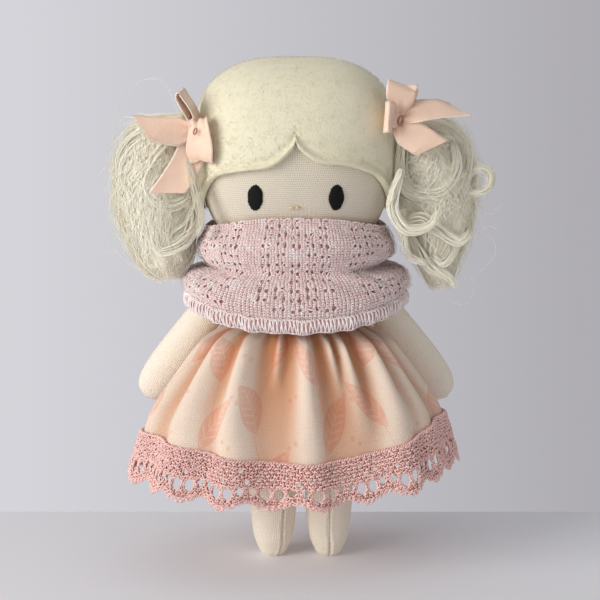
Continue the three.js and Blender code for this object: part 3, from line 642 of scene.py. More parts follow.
def felt_finish():
    """Cream wool felt: soft blotches, a fine pile of short fibres, and specks of shade."""
    finish = Finish("felt", 0.95, 0.35, (1, 1, 0.88))
    place = finish.solid_place()
    soft = finish.noise(place, 90, 3)
    pile = finish.noise(place, 1700, 3, 0.6)
    speck = finish.noise(place, 420, 2) > 0.58
    warm = finish.noise(place, 30, 1)
    colour = finish.mix(soft * 0.65, felt_cream, (0.73, 0.68, 0.44))
    colour = finish.mix(warm * 0.45, colour, (0.90, 0.80, 0.58))
    colour = finish.mix(speck * 0.16, colour, felt_shade)
    colour = finish.mix(pile * 0.22, colour, (0.93, 0.92, 0.76))
    return finish.done(colour, pile * 0.8 + soft * 0.7, 0.26)


felt = felt_finish()
half_columns = 90
edge_xz = np.concatenate([
    fringe_edge(-1, half_columns)[::-1], fringe_edge(1, half_columns)[1:]])
outline_width, outline_depth = head_size(edge_xz[:, 1], felt_thickness)
edge_y = -outline_depth * reach(np.minimum(np.abs(edge_xz[:, 0]) / outline_width, 1),
                                head_plan_roundness)
fringe = np.stack([np.clip(edge_xz[:, 0], -outline_width, outline_width), edge_y,
                   edge_xz[:, 1] - head_middle_z], axis=1)
seam_share = np.linspace(-1, 1, len(fringe))
seam_front = seam_arc(seam_share, cap_seam_y - 0.03)
near_end = np.clip((np.abs(seam_share) - 0.9) / 0.1, 0, 1)[:, None] ** 2
fringe = fringe * (1 - near_end) + seam_front * near_end
hair_front = felt_shell("hair_front_felt", fringe, seam_front, lip_swell)
hem_turn = np.linspace(-0.25, 0.25, len(fringe))
hem_width, hem_depth = head_size(np.array(cap_hem_z), felt_thickness)
hem_x, hem_y = oval(hem_turn * 0.98, hem_width, -hem_depth, head_plan_roundness)
hem = np.stack([hem_x, hem_y, np.full(len(hem_x), cap_hem_z - head_middle_z)], axis=1)
seam_back = seam_arc(seam_share, cap_seam_y + 0.03)
hem[0], hem[-1] = seam_back[0], seam_back[-1]
hair_back = felt_shell("hair_back_felt", hem, seam_back, 0.25)
draw = np.random.default_rng(3)
for shell, node, half_stitch, first_stitch in (
        (hair_front, "hair_front", 1.0, 0), (hair_back, "hair_back", 0.94, 1)):
    points, normals = np.zeros((2, len(shell.data.vertices) * 3), np.float32)
    shell.data.vertices.foreach_get("co", points)
    shell.data.vertices.foreach_get("normal", normals)
    points, normals = points.reshape(-1, 3) / MM, normals.reshape(-1, 3)
    outer = np.flatnonzero(np.einsum("ij,ij->i", normals, points - head_middle) > 8)
    chosen = draw.choice(outer, fibre_count)
    along = unit(np.cross(normals[chosen], draw.normal(0, 1, (fibre_count, 3))))
    along = along * draw.uniform(*fibre_half_lengths, (fibre_count, 1))
    station = np.linspace(-1, 1, 5)[None, :, None]
    bend = np.cross(normals[chosen], along)[:, None] * draw.uniform(-0.5, 0.5, (fibre_count, 1, 1))
    shift = draw.uniform(-1.5, 1.5, (fibre_count, 1, 1))
    rise = draw.uniform(0.05, 0.6, (fibre_count, 1, 1)) * (1 - station ** 2) - 0.1
    fibres = points[chosen, None] + along[:, None] * (shift + station) + (
        bend * station ** 2 + normals[chosen, None] * rise)
    fuzz = tubes(node + "_fuzz", fibres, fibre_radius, (0.3, 0.2, 1.0), 3)
    station = np.linspace(-1, 1, 9)[None]
    stitch = np.linspace(-0.93, 0.93, seam_stitches)[:, None] + 0.004 * station
    angle = stitch * math.atan2(head_half_width + 2, cap_hem_z - head_middle_z)
    toward = np.stack([np.sin(angle), 0 * angle, np.cos(angle)], axis=-1)
    over = on_head(toward, felt_thickness + 0.2 + 0.25 * (1 - station ** 2) - 0.9 * station ** 8)
    over[..., 1] = cap_seam_y + half_stitch * station
    seam = tubes(node + "_stitches", over[first_stitch::2], seam_thread, (0, 1.0, 0.05), 5)
    for piece in (shell, fuzz, seam):
        piece.data.materials.append(felt)
        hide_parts(node)
        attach(piece, "trunk")

# Torso: a stuffed linen body with a neck stub, hidden by the cowl and the skirt.
torso_bottom_z, torso_roundness = 44.5, 2.15
torso_top_z = head_middle_z - head_drop - 0.4
waist_z, shoulder_z, shoulder_half_width, neck_radius = 82.3, 91.0, 16.4, 9.0
# [height, half width, half depth]
torso_stations = [
    [torso_bottom_z, 15.9, 8.75], [54, 18.5, 12.5], [waist_z, 16.5, 11.5],
    [shoulder_z, shoulder_half_width, 10.5], [99, neck_radius, 8.1], [105, 8.1, 7.2]]


def read_along(stations, place):
    """A smooth cubic through stations [place, value, value...], read at an array of places.
    The slope at a station is that of the line between its neighbours."""
    stations = np.asarray(stations, float)
    last = len(stations) - 1
    place = np.clip(place, stations[0, 0], stations[-1, 0])
    i = np.minimum(np.searchsorted(stations[1:, 0], place, side="left"), last - 1)
    before, a, b = stations[np.maximum(i - 1, 0)], stations[i], stations[i + 1]
    after = stations[np.minimum(i + 2, last)]
    step = b[..., :1] - a[..., :1]
    t = (place[..., None] - a[..., :1]) / step
    slope_a = (b - before) / (b[..., :1] - before[..., :1]) * step
    slope_b = (after - a) / (after[..., :1] - a[..., :1]) * step
    rise = b - a
    value = a + t * slope_a + t * t * (3 * rise - 2 * slope_a - slope_b) + t ** 3 * (
        slope_a + slope_b - 2 * rise)
    return np.moveaxis(value[..., 1:], -1, 0)


def smooth(value, low, high):
    """A smooth step from 0 at low to 1 at high."""
    share = np.clip((value - low) / (high - low), 0, 1)
    return share * share * (3 - 2 * share)


rows, columns = 44, 72
torso_z = np.linspace(torso_bottom_z, torso_top_z, rows - 2)
torso_z = np.concatenate([torso_z[:1], torso_z, torso_z[-1:]])
half_width, half_depth = read_along(torso_stations, torso_z)
torso_points = level_rows(torso_z, half_width, half_depth, columns, torso_roundness)
torso_points[[0, -1], :, :2] = 0
torso = skin("torso_linen", torso_points, cloth_lengths(torso_points, 0.25), poles=True)
torso.data.materials.append(linen)
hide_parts("torso")
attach(torso, "trunk")

# Arms: stuffed linen tubes, closed at the hand by a round seam, hung on one thread that passes
# through the shoulders and is knotted outside each arm. They hang behind the skirt's sides.
arm_radius_top, arm_radius, arm_length, limb_roundness = 5.0, 6.8, 52.5, 2.1
arm_splay, arm_back_slope = math.radians(35), math.radians(16)
thread_radius, thread_y, knot_radius = 0.5, 5.0, 1.3
ply_radius, ply_offset, knot_turns, knot_half_length = 0.28, 0.24, 4, 0.7
arm_creases = ((0.34, 0.018, 0.02), (0.43, 0.014, 0.016))  # share down, depth, half width
arm_reach = arm_radius_top / math.cos(arm_splay)
arm_pivot_x = shoulder_half_width + skin_gap + arm_reach


def eased(count):
    """Shares from 0 to 1 that lie closer together towards both ends."""
    return 0.5 - 0.5 * np.cos(np.linspace(0, 1, count) * math.pi)


def arm_shape(side):
    """An arm from its pivot: an oval whose half sizes run through stations [share down, half
    width, half depth] from the shoulder to the hand, leaned back and splayed to its side, with
    two soft creases at the elbow."""
    stations = [
        [0, 0.5, 0.5], [0.05, 3.6, 3.6], [0.14, arm_radius_top, arm_radius_top],
        [0.5, 6.46, 6.12], [0.8, arm_radius, 6.12], [0.94, 5.03, 4.49], [1, 0.5, 0.5]]
    rows, columns = 72, 72
    place = eased(rows)
    half_width, half_depth = read_along(stations, place)
    pulled = 1 - sum(depth * bell(place - down, spread) for down, depth, spread in arm_creases)
    half_width, half_depth = half_width * pulled, half_depth * pulled
    half_width[[0, -1]] = half_depth[[0, -1]] = 0
    above = arm_radius_top * 0.95
    x, y, z = np.moveaxis(level_rows(
        above - place * (arm_length + above), half_width, half_depth, columns, limb_roundness),
        -1, 0)
    y, z = (y * math.cos(arm_back_slope) - z * math.sin(arm_back_slope),
            y * math.sin(arm_back_slope) + z * math.cos(arm_back_slope))
    lean = -side * arm_splay
    x, z = x * math.cos(lean) + z * math.sin(lean), -x * math.sin(lean) + z * math.cos(lean)
    return np.stack([x + side * arm_pivot_x, y + thread_y, z + shoulder_z], axis=2)


for name, side in (("arm_left", -1), ("arm_right", 1)):
    points = arm_shape(side)
    arm = skin(name + "_linen", points, cloth_lengths(points, 0.5), poles=True)
    arm.data.materials.append(linen)
    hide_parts(name)
    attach(arm, name)

knot_x = arm_pivot_x + arm_reach + skin_gap + knot_radius
share = np.linspace(-1, 1, 120)
twist = share * 60
threads = []
for start in (0, math.pi):
    threads.append(np.stack([
        share * knot_x, thread_y + ply_offset * np.cos(twist + start),
        shoulder_z + ply_offset * np.sin(twist + start)], axis=1))
for side in (-1, 1):
    wound = np.linspace(0, 1, 120) * knot_turns * math.tau
    out = (knot_radius - 0.3) * np.sin(wound / knot_turns / 2)
    threads.append(np.stack([
        side * (knot_x - knot_half_length + 2 * knot_half_length * wound / wound[-1]),
        thread_y + out * np.cos(wound),
        shoulder_z + out * np.sin(wound)], axis=1))
shoulder_thread = tubes("shoulder_thread_twist", threads, ply_radius, (0.03, 1.0, 0.02))
shoulder_thread.data.materials.append(beige_thread)
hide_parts("shoulder_thread")
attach(shoulder_thread, "trunk")

# Neck stitches: ladder stitches that close the neck round the head, one thread run round.
neck_stitches, neck_thread_radius, stitch_swing = 30, 0.35, 0.12
neck_z = head_middle_z - head_drop - skin_gap - thread_radius
neck_half_width, neck_half_depth = read_along(torso_stations, np.array(neck_z - thread_radius))
turns = np.linspace(0, 1, 241)
angle = turns * math.tau
out = skin_gap * 1.5 + thread_radius + stitch_swing * np.cos(angle * neck_stitches)
neck_path = np.stack([
    (neck_half_width + out) * np.sin(angle), -(neck_half_depth + out) * np.cos(angle),
    neck_z + stitch_swing * np.sin(angle * neck_stitches)], axis=1)
neck_thread = tubes("neck_thread_stitches", neck_path[None], neck_thread_radius, (0, 0, 1.0))
neck_thread.data.materials.append(beige_thread)
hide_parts("neck_thread")
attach(neck_thread, "trunk")

# Legs: stuffed linen, sewn flat into the torso's lower seam, full below it and tapered to the
# foot. Each leg's seam runs down its front; the sole is a little flat where it stands.
leg_radius, leg_spacing, leg_offset = 7.8, 18.6, 1.6
hip_axis_z, leg_top_rise, sole_cut = 41.6, 2.4, 0.5
groove_depth, groove_half_width = 0.3, 0.42
ridge_height, ridge_from_seam, ridge_half_width = 0.16, 1.0, 0.5


def wrapped(offset, period):
    """An offset brought to within half a period of 0."""
    return (offset + period / 2) % period - period / 2


def leg_shape(seam_turn):
    """A leg round its own middle line: an oval whose half sizes run through stations [share
    up, half width, half depth] from toe to hip, pulled in along the seam by a narrow groove
    with a puckered ridge on each side."""
    top = hip_axis_z + leg_top_rise
    stations = [
        [0, 2.85, 2.85], [0.04, 4.37, 4.6], [0.16, 6.47, 6.4], [0.42, leg_radius, 7.18],
        [0.75, leg_radius, 6.08], [hip_axis_z / top, 6.7, 2.6], [1, 5.77, 0.78]]
    rows, columns = 96, 144
    place = eased(rows)
    half_width, half_depth = read_along(stations, place)
    half_width[[0, -1]] = half_depth[[0, -1]] = 0
    x, y, z = np.moveaxis(level_rows(
        -sole_cut + place * (top + sole_cut), half_width, half_depth, columns, limb_roundness),
        -1, 0)
    away = wrapped(np.arange(columns) / columns - seam_turn, 1)
    across = away[None] * math.tau * np.maximum(half_width, 1)[:, None]
    wander = 0.35 * np.sin(place * 17)[:, None]
    pucker = 1 + 0.5 * np.sin(place * 150)[:, None]
    dent = -groove_depth * bell(across - wander, groove_half_width)
    dent = dent + ridge_height * pucker * bell(
        np.abs(across - wander) - ridge_from_seam, ridge_half_width)
    dent = dent * smooth(place, 0.01, 0.05)[:, None] * smooth(1 - place, 0.01, 0.1)[:, None]
    size = np.maximum(np.hypot(x, y), 1e-6)
    x, y = x * (1 + dent / size), y * (1 + dent / size)
    return np.stack([x, y, np.maximum(z, 0)], axis=2)


for name, side, seam_turn in (("leg_left", -1, 0.0764), ("leg_right", 1, 0.007)):
    points = leg_shape(seam_turn)
    cloth = cloth_lengths(points, seam_turn)
    points[:, :, 0] += side * leg_spacing / 2 + leg_offset
    leg = skin(name + "_linen", points, cloth, poles=True)
    leg.data.materials.append(linen)
    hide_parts(name)
    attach(leg, name)

# Skirt: a strip of printed cotton, gathered on an elastic in a folded casing. The folds are
# deep and narrow under the cowl and open out towards the hem, which the trim covers.
cloth_thickness, waistband_height = 1.0, 5.0
elastic_width, elastic_thickness = 3.0, 0.8
skirt_hem_z, skirt_hem_half_width, skirt_hem_half_depth = 38.0, 50.6, 31.5
fold_depth, hem_lift, hem_lift_right = 4.0, 4.9, 5.0
arm_hollow, skirt_edge_y = 7.0, -9.0
fine_puckers, broad_puckers = 61, 23
lace_height, lace_overlap = 17.0, 3.4
band_top_z = waist_z + waistband_height / 2
band_bottom_z = waist_z - waistband_height / 2
band_wall = elastic_thickness + skin_gap * 2 + cloth_thickness * 2
band_half_width, band_half_depth = [
    float(size) + skin_gap + band_wall
    for size in read_along(torso_stations, np.array(band_bottom_z))]
lace_bottom_z = skirt_hem_z + lace_overlap - lace_height
skirt_fall = band_bottom_z - skirt_hem_z
# [share of the fall, of the flare across, of the flare deep]
flare_shares = np.array([
    [(band_bottom_z - lace_bottom_z) / skirt_fall, 1.14, 1.1], [1, 1, 1], [0.7, 0.86, 0.91],
    [0.4, 0.59, 0.74], [0.15, 0.34, 0.52], [0.06, 0.21, 0.34], [0.015, 0.06, 0.11],
    [-0.01, 0, 0]])
skirt_stations = np.array([
    band_bottom_z - skirt_fall * flare_shares[:, 0],
    band_half_width + (skirt_hem_half_width - band_half_width) * flare_shares[:, 1],
    band_half_depth + (skirt_hem_half_depth - band_half_depth) * flare_shares[:, 2]]).T
skirt_stations = np.vstack([skirt_stations, [band_top_z, band_half_width, band_half_depth]])
# Ridges of the folds: [degrees from the front at the band, at the hem, half width at the band,
# at the hem, height, share faded at the hem]
skirt_folds = [
    [-54, -46, 8, 12, 1.0, 0], [-29, -21, 7, 8, 1.25, 0.1], [-9, -8, 2.6, 3, 0.8, 2.2],
    [5, 5, 4, 6.5, 1.15, 0.35], [19, 22, 2.4, 4, 0.9, 1.7], [29, 27, 2.6, 7, 0.95, 0.9],
    [49, 43, 5, 10, 1.1, 0], [66, 62, 6, 9, 0.9, 0.3]] + [
    [at, at, 8, 11, 1.0, 0.2] for at in (86, 105, 130, 155, 180, 205, 230, 255, 281)]


def fold_share(degrees, fall):
    """The height of the folds: a bell for each ridge, whose middle and width run from the
    band's to the hem's as the cloth falls."""
    total = np.zeros(np.broadcast(degrees, fall).shape)
    for at_band, at_hem, band_spread, hem_spread, height, fade in skirt_folds:
        away = wrapped(degrees - (at_band + (at_hem - at_band) * fall), 360)
        spread = band_spread + (hem_spread - band_spread) * fall
        total += height * np.clip(1 - fade * fall, 0, 1) * np.exp(-np.abs(away / spread) ** 2.4)
    return total


def skirt_point(turn, z, inset, gathers=0.0):
    """A point of the skirt, inset from the cloth's outer face: an oval whose half sizes run
    through the stations, plus the folds, pressed in by the arms behind the middle and lifted
    at the sides of the hem. gathers adds fine puckers under the band in front and behind."""
    half_width, half_depth = read_along(skirt_stations, z)
    angle = turn * math.tau
    fall = np.clip((band_bottom_z - z) / skirt_fall, 0, 1.4)
    fallen = np.minimum(fall, 1)
    swell = 1 + 0.35 * np.sin(np.clip(fallen * 1.25, 0, 1) * math.pi)
    fold = fold_depth * swell * smooth(fall, 0, 0.1) * (fold_share(turn * 360, fallen) - 0.5)
    fold = fold + gathers * np.cos(angle) ** 2 * (
        np.sin(angle * fine_puckers + 2 * np.sin(angle * 7)) * bell(fall, 0.09)
        + 0.5 * np.sin(angle * broad_puckers + 3 * fall) * bell(fall - 0.1, 0.2))
    flare = smooth(fall, 0, 0.14)
    middle_y = skirt_edge_y * flare
    turned = np.degrees(np.arccos(np.cos(angle)))
    behind = smooth(turned, 90, 112) * (1 - smooth(turned, 125, 165))
    press = arm_hollow * behind * flare * (1 - 0.5 * smooth(fall, 0.9, 1.3))
    depth = half_depth + fold - inset + np.where(np.cos(angle) > 0, middle_y, -middle_y)
    x, across_y = oval(turn, half_width + fold - press - inset, depth, torso_roundness)
    x = x * np.where(x > 0, 1 - 0.06 * fallen, 1 - 0.016 * fallen)
    lift = hem_lift + np.where(x > 0, hem_lift_right, 0)
    return np.stack([
        x, across_y + middle_y, z + lift * np.sin(angle) ** 2 * fallen ** 2], axis=-1)


def skirt_finish():
    """Cream cotton, plain woven, printed in salmon: wavy stems that climb the cloth with a
    broad veined leaf to each side in turn, and small berries between the stems. The mesh's hollow
    share darkens the folds' valleys to a warm brown, as painted shade."""
    finish = Finish("printed_cotton", 0.85, 0.2, (1, 0.93, 0.88))
    place, across, up = finish.cloth_place()
    stem_spacing, leaf_rise, leaf_from_stem = 24.0, 42.0, 5.2
    leaf_length, leaf_half_width, vein_spacing = 20.0, 3.9, 2.6

    def soft_inside(distance, edge=0.16):
        """1 where a distance in millimetres is below zero, with a soft printed edge."""
        inside = finish.node("ShaderNodeMapRange", 0)
        node = inside.output.node
        node.interpolation_type = "SMOOTHSTEP"
        for socket, value in zip(node.inputs, (distance, edge, -edge)):
            put_in(finish.tree, value, socket)
        return inside

    odd = (across / stem_spacing).by("FLOOR") % 2.0
    x = across % stem_spacing - stem_spacing / 2
    v = up + odd * (leaf_rise * 0.37)
    wave = (v * (math.tau / leaf_rise)).by("SINE") * 2.2
    printed = soft_inside(abs(x - wave) - 0.2) * 0.7
    pale = None
    for start, side, lean in ((0.30, 1, 0.50), (0.80, -1, 0.62)):
        rise = (v - leaf_rise * (start - 0.5)) % leaf_rise - leaf_rise / 2
        sideways = x - side * leaf_from_stem
        if side < 0:
            sideways = sideways * -1.0
        along_leaf = rise * math.cos(lean) + sideways * math.sin(lean)
        share = along_leaf / (leaf_length / 2)
        over_leaf = sideways * math.cos(lean) - rise * math.sin(lean) - share ** 2.0 * 1.3
        width = (1.0 - share * share) * share.by("MULTIPLY_ADD", -1.2, leaf_half_width)
        from_edge = abs(over_leaf) - width
        leaf = soft_inside(from_edge)
        vein = abs((along_leaf + abs(over_leaf) * -0.9) % vein_spacing - vein_spacing / 2)
        veins = soft_inside(vein - 0.3, 0.4) * soft_inside(from_edge + 0.7, 0.3)
        rib = soft_inside(abs(over_leaf) - 0.14)
        light = leaf * veins.by("MAXIMUM", rib)
        printed = printed.by("MAXIMUM", leaf)
        pale = light if pale is None else pale.by("MAXIMUM", light)
    berry_x = abs(x) - (stem_spacing / 2 - 1.3)
    berry_v = v % (leaf_rise / 3) - leaf_rise / 6
    berry = (berry_x * berry_x + berry_v * berry_v).by("SQRT")
    printed = printed.by("MAXIMUM", soft_inside(berry - 0.75) * 0.8)
    fade = finish.noise(place, 0.25, 3)
    slub = finish.noise(place, 0.9, 2)
    dot, height = woven(across, up, 0.62, slub * 1.2)
    colour = finish.mix(fade * 0.35, (0.82, 0.67, 0.54), (0.905, 0.79, 0.70))
    colour = finish.mix(printed * fade.by("MULTIPLY_ADD", 0.5, 0.30), colour, (0.80, 0.37, 0.26))
    colour = finish.mix(pale * 0.7, colour, (0.90, 0.68, 0.57))
    colour = finish.mix(dot * 0.5, colour, (0.68, 0.42, 0.27))
    # Painted shade: the folds' valleys are darkened to a warm brown by the mesh's hollow share.
    colour = finish.mix(finish.attribute("hollow"), colour, (0.70, 0.37, 0.20), "MULTIPLY")
    return finish.done(colour, height + slub * 0.6, 0.06)


printed_cotton = skirt_finish()
columns = 400
turns = np.arange(columns) / columns + 0.5
outer_z = np.concatenate([
    np.linspace(skirt_hem_z, band_bottom_z - 3, 56),
    np.linspace(band_bottom_z - 2.4, band_top_z, 16)])
cotton_wall, fold_end_z = 0.6, band_bottom_z + 0.9
slot_depth = cloth_thickness + skin_gap * 2 + elastic_thickness
section = np.array(
    [(z, 0.0) for z in outer_z]
    + [(band_top_z, slot_depth + cotton_wall), (fold_end_z, slot_depth + cotton_wall),
       (fold_end_z, slot_depth), (band_top_z - cotton_wall, slot_depth),
       (band_top_z - cotton_wall, cotton_wall)]
    + [(z, cotton_wall) for z in outer_z[::-2] if z < band_top_z - cotton_wall])
skirt_points = skirt_point(turns[None], section[:, :1], section[:, 1:], 0.35)
hem_row = np.concatenate([skirt_points[20], skirt_points[20, :1]])
flat_across = path_lengths(hem_row)
flat_across = flat_across * 1.12 - flat_across[-1] * 0.56
down = np.concatenate([[0], np.cumsum(np.linalg.norm(
    np.diff(skirt_points, axis=0), axis=2).mean(axis=1)), [0]])
cloth = np.stack(np.broadcast_arrays(flat_across[None], down[:, None]), axis=2)
skirt = skin("skirt_cotton", skirt_points, cloth, ring=True)
# Painted shade for the folds' valleys, strongest under the band, kept on the mesh as its hollow
# share.
fallen = np.clip((band_bottom_z - section[:, :1]) / skirt_fall, 0, 1)
fold_shade = smooth(0.8 - fold_share(turns[None] * 360, fallen), 0, 0.8) * (1 - 0.45 * fallen)
skirt.data.attributes.new("hollow", "FLOAT", "POINT").data.foreach_set(
    "value", fold_shade.astype(np.float32).ravel())
skirt.data.materials.append(printed_cotton)
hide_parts("skirt")
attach(skirt, "trunk")

# Waist elastic: a flat woven band in the casing.
inner = cloth_thickness + skin_gap + elastic_thickness
elastic_top = band_top_z - cloth_thickness - skin_gap
section = np.array([
    (elastic_top, 1.2), (elastic_top, inner), (elastic_top - elastic_width, inner),
    (elastic_top - elastic_width, 1.2)])
turns = np.arange(240) / 240
elastic_points = skirt_point(turns[None], section[:, :1], section[:, 1:])
elastic_length = 110
round_section = np.cumsum([0] + [elastic_thickness, elastic_width] * 2)
elastic_cloth = np.stack(np.broadcast_arrays(
    np.linspace(0, elastic_length, 241)[None], round_section[:, None]), axis=2)
elastic = skin("waist_elastic_band", elastic_points, elastic_cloth, ring=True)
elastic_finish = Finish("elastic_white", 0.6, 0.1)
dot, height = woven(*elastic_finish.cloth_place()[1:], 0.45)
elastic_white = elastic_finish.done(
    elastic_finish.mix(dot * 0.4, (0.86, 0.85, 0.82), (0.55, 0.54, 0.52)), height, 0.1)
elastic.data.materials.append(elastic_white)
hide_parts("waist_elastic")
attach(elastic, "trunk")

# Trim: crocheted cotton edging sewn over the skirt's hem. A dense heading under a row of chain
# stitches, a row of small holes, then pairs of large holes above each scallop of corded loops.
# Behind the stitches lies a darker sheet of the same cotton: painted shade between them.
scallops, scallop_depth = 22, 1.9
lace_gap, lace_thread, ring_thread = 0.2, 0.3, 0.29
net_inner, net_outer, net_top = 0.05, 0.35, 0.2
hole_in_net, hole_in_stitches = 1.1, 0.8  # in half sizes of the hole
per_scallop, stitch_rows, first_row, row_spacing = 8, 10, 1.8, 1.28
loop_half_height, loop_depth = 0.66, 0.36
lace_top_z = skirt_hem_z + lace_overlap
scallop_width = 13.2
lace_length = scallop_width * scallops
scallop_start = 0.56
# Holes in one scallop: [mm along from its middle, mm below the top edge, half width, half height]
lace_holes = np.array([
    [-1.85, 11.1, 1.5, 2.05], [1.85, 11.1, 1.5, 2.05], [-5.0, 10.2, 0.9, 1.25],
    [5.0, 10.2, 0.9, 1.25], [-6.6, 7.2, 0.6, 0.75], [-3.3, 6.2, 0.6, 0.75], [0, 6.9, 0.6, 0.75],
    [3.3, 6.2, 0.6, 0.75], [6.6, 7.2, 0.6, 0.75], [-1.7, 3.6, 0.35, 0.45],
    [5.0, 3.3, 0.35, 0.45]])
# Corded rings of one scallop: [mm along, mm down, half width, half height, strands]
lace_rings = (
    (-1.85, 11.1, 1.6, 2.15, 2), (1.85, 11.1, 1.6, 2.15, 2), (0, 15.9, 1.25, 0.85, 1),
    (-2.9, 15.0, 0.95, 0.75, 1), (2.9, 15.0, 0.95, 0.75, 1), (-5.0, 13.7, 0.75, 0.6, 1),
    (5.0, 13.7, 0.75, 0.6, 1))
# A thread runs down between the two large holes
bar_top, bar_bottom = 9.3, 13.4
# Cords along the trim: (mm below the top edge, strands, radius of the twist, its pitch)
cord_rows = ((0.5, 2, 0.34, 1.65), (8.7, 1, 0.3, 1.9))


def lace_point(along, drop, out):
    """A place on the trim: millimetres along from the first scallop's middle, millimetres below
    the top edge, and millimetres out from the trim's inner face. The top edge is sewn on lower
    in front and higher at the right end."""
    turn = (along / scallop_width + scallop_start) / scallops
    degrees = wrapped(turn, 1) * 360
    lower = 2.6 * bell(degrees - 5, 34) - 1.1 - 2.6 * bell(degrees - 84, 24)
    drop = lower + drop * (1 - lower / lace_height)
    return skirt_point(turn, lace_top_z - drop, -(lace_gap + out))


def scallop_edge(along):
    """How far down the net's lower edge is: a bow down at the middle of each scallop."""
    return 13.1 + (scallop_depth + 0.2) * np.cos(math.pi * along / scallop_width) ** 2


def pushed_open(along, drop, holes, period):
    """Moves places out of the holes: a place at r half sizes from a hole's middle goes towards
    the cube root of r cubed plus one, along the same ray, by a share that fades with r."""
    for middle, down, half_width, half_height in holes:
        x = wrapped(along - middle, period) / half_width
        y = (drop - down) / half_height
        distance = np.maximum(np.hypot(x, y), 1e-6)
        grown = (distance ** 3 + 1.0) ** (1 / 3) / distance - 1
        grown = grown * bell(distance, 3.2)
        along = along + x * grown * half_width
        drop = drop + y * grown * half_height
    return along, drop


def stitch_loops(middle_along, middle_drop, width, height, depth, turned):
    """Looped stitches: along = width t / 2 pi + a sine of 2t, drop = height cos t, out =
    depth cos 2t, for t from 0 to 2 pi, each turned a little about its middle."""
    t = np.linspace(0, math.tau, 10)[None]
    along = width * (t / math.tau - 0.5) + width * 0.24 * np.sin(2 * t)
    drop = height * np.cos(t)
    out = np.broadcast_to(depth * np.cos(2 * t), along.shape)
    turned = turned[:, None]
    return (middle_along[:, None] + along * np.cos(turned) - drop * np.sin(turned),
            middle_drop[:, None] + along * np.sin(turned) + drop * np.cos(turned), out)


def twisted_cord(route, strands, twist_radius, pitch, out=0.5):
    """Strands wound round a flat route [station, along/drop]: each goes round it once a pitch."""
    heading = unit(np.gradient(route, axis=0))
    made = []
    for strand in range(strands):
        phase = path_lengths(route) / pitch * math.tau + strand * math.tau / strands
        aside = twist_radius * np.cos(phase)
        made.append((route[:, 0] - heading[:, 1] * aside, route[:, 1] + heading[:, 0] * aside,
                     out + twist_radius * np.sin(phase)))
    return made


def crochet_finish(name, hollow, light, shine):
    """Mercerised cotton: a twist, a shine on the thread and deeper pink in its hollows."""
    finish = Finish(name, 0.45, 0.3, (1, 0.85, 0.83), 0.55)
    place = finish.solid_place()
    twist = finish.twist(place, 620, 1.5)
    colour = finish.mix(finish.noise(place, 260, 3), hollow, light)
    return finish.done(finish.mix(twist * 0.4, colour, shine), twist, 0.09)


crochet_cotton = crochet_finish(
    "crochet_cotton", (0.96, 0.54, 0.47), (0.98, 0.64, 0.58), (1.0, 0.79, 0.74))
# A darker copy of the crochet cotton, for the sheet behind the stitches: painted shade between
# them.
crochet_shade = crochet_finish(
    "crochet_shade", (0.68, 0.27, 0.21), (0.80, 0.37, 0.30), (0.78, 0.36, 0.31))
# The net: a dark sheet under the stitches that stands for the shade between them.
net_columns, net_rows = scallops * 24, 30
along = np.arange(net_columns) * lace_length / net_columns
share = np.linspace(0, 1, net_rows + 1)
drop = net_top + share[:, None] * (scallop_edge(along)[None] - net_top)
net_along, net_drop = np.broadcast_arrays(along[None], drop)
middle_along = net_along + lace_length / net_columns / 2
middle_drop = (net_drop[:-1] + net_drop[1:]) / 2
solid = np.ones(middle_drop.shape, bool)
for middle, down, half_width, half_height in lace_holes:
    x = wrapped(middle_along[:-1] - middle, scallop_width) / half_width
    solid &= np.hypot(x, (middle_drop - down) / half_height) > hole_in_net
ids = np.arange((net_rows + 1) * net_columns).reshape(net_rows + 1, net_columns)
quads = cell_corners(np.hstack([ids, ids[:, :1]]))[solid]
layer = (net_rows + 1) * net_columns
edges = np.concatenate([quads[:, [k, (k + 1) % 4]] for k in range(4)])
code = edges[:, 0].astype(np.int64) * layer + edges[:, 1]
back = edges[:, 1].astype(np.int64) * layer + edges[:, 0]
rim = edges[~np.isin(code, back)]
walls = np.stack([rim[:, 1], rim[:, 0], rim[:, 0] + layer, rim[:, 1] + layer], axis=1)
net_points = np.concatenate([
    lace_point(net_along, net_drop, out).reshape(-1, 3) for out in (net_inner, net_outer)])
faces = np.concatenate([quads, quads[:, ::-1] + layer, walls])
used, faces = np.unique(faces, return_inverse=True)
lace_shade_net = put_mesh("lace_shade_net", net_points[used], [faces.reshape(-1, 4)])
lace_shade_net.data.materials.append(crochet_shade)

draw = np.random.default_rng(11)
stitch_along, stitch_row = np.meshgrid(
    np.arange(scallops * per_scallop), np.arange(stitch_rows))
stitch_along = (stitch_along + 0.5 * (stitch_row % 2)).ravel() * scallop_width / per_scallop
stitch_drop = first_row + stitch_row.ravel() * row_spacing
inside = stitch_drop < scallop_edge(stitch_along) - 0.3
for middle, down, half_width, half_height in lace_holes[:4]:
    x = wrapped(stitch_along - middle, scallop_width) / half_width
    inside &= np.hypot(x, (stitch_drop - down) / half_height) > hole_in_stitches
stitch_along, stitch_drop = stitch_along[inside], stitch_drop[inside]
count = len(stitch_along)
loops_along, loops_drop, loops_out = stitch_loops(
    stitch_along + draw.uniform(-0.16, 0.16, count), stitch_drop + draw.uniform(-0.14, 0.14, count),
    scallop_width / per_scallop * 0.98, loop_half_height, loop_depth,
    draw.uniform(-0.6, 0.6, count))
loops_along, loops_drop = pushed_open(loops_along, loops_drop, lace_holes, scallop_width)
loops_out = 0.85 + loops_out + draw.uniform(-0.12, 0.22, (count, 1))
loops = lace_point(loops_along, loops_drop, loops_out)
lace_stitches = tubes("lace_stitches", loops, lace_thread, outwards(loops), 4)
lace_stitches.data.materials.append(crochet_cotton)

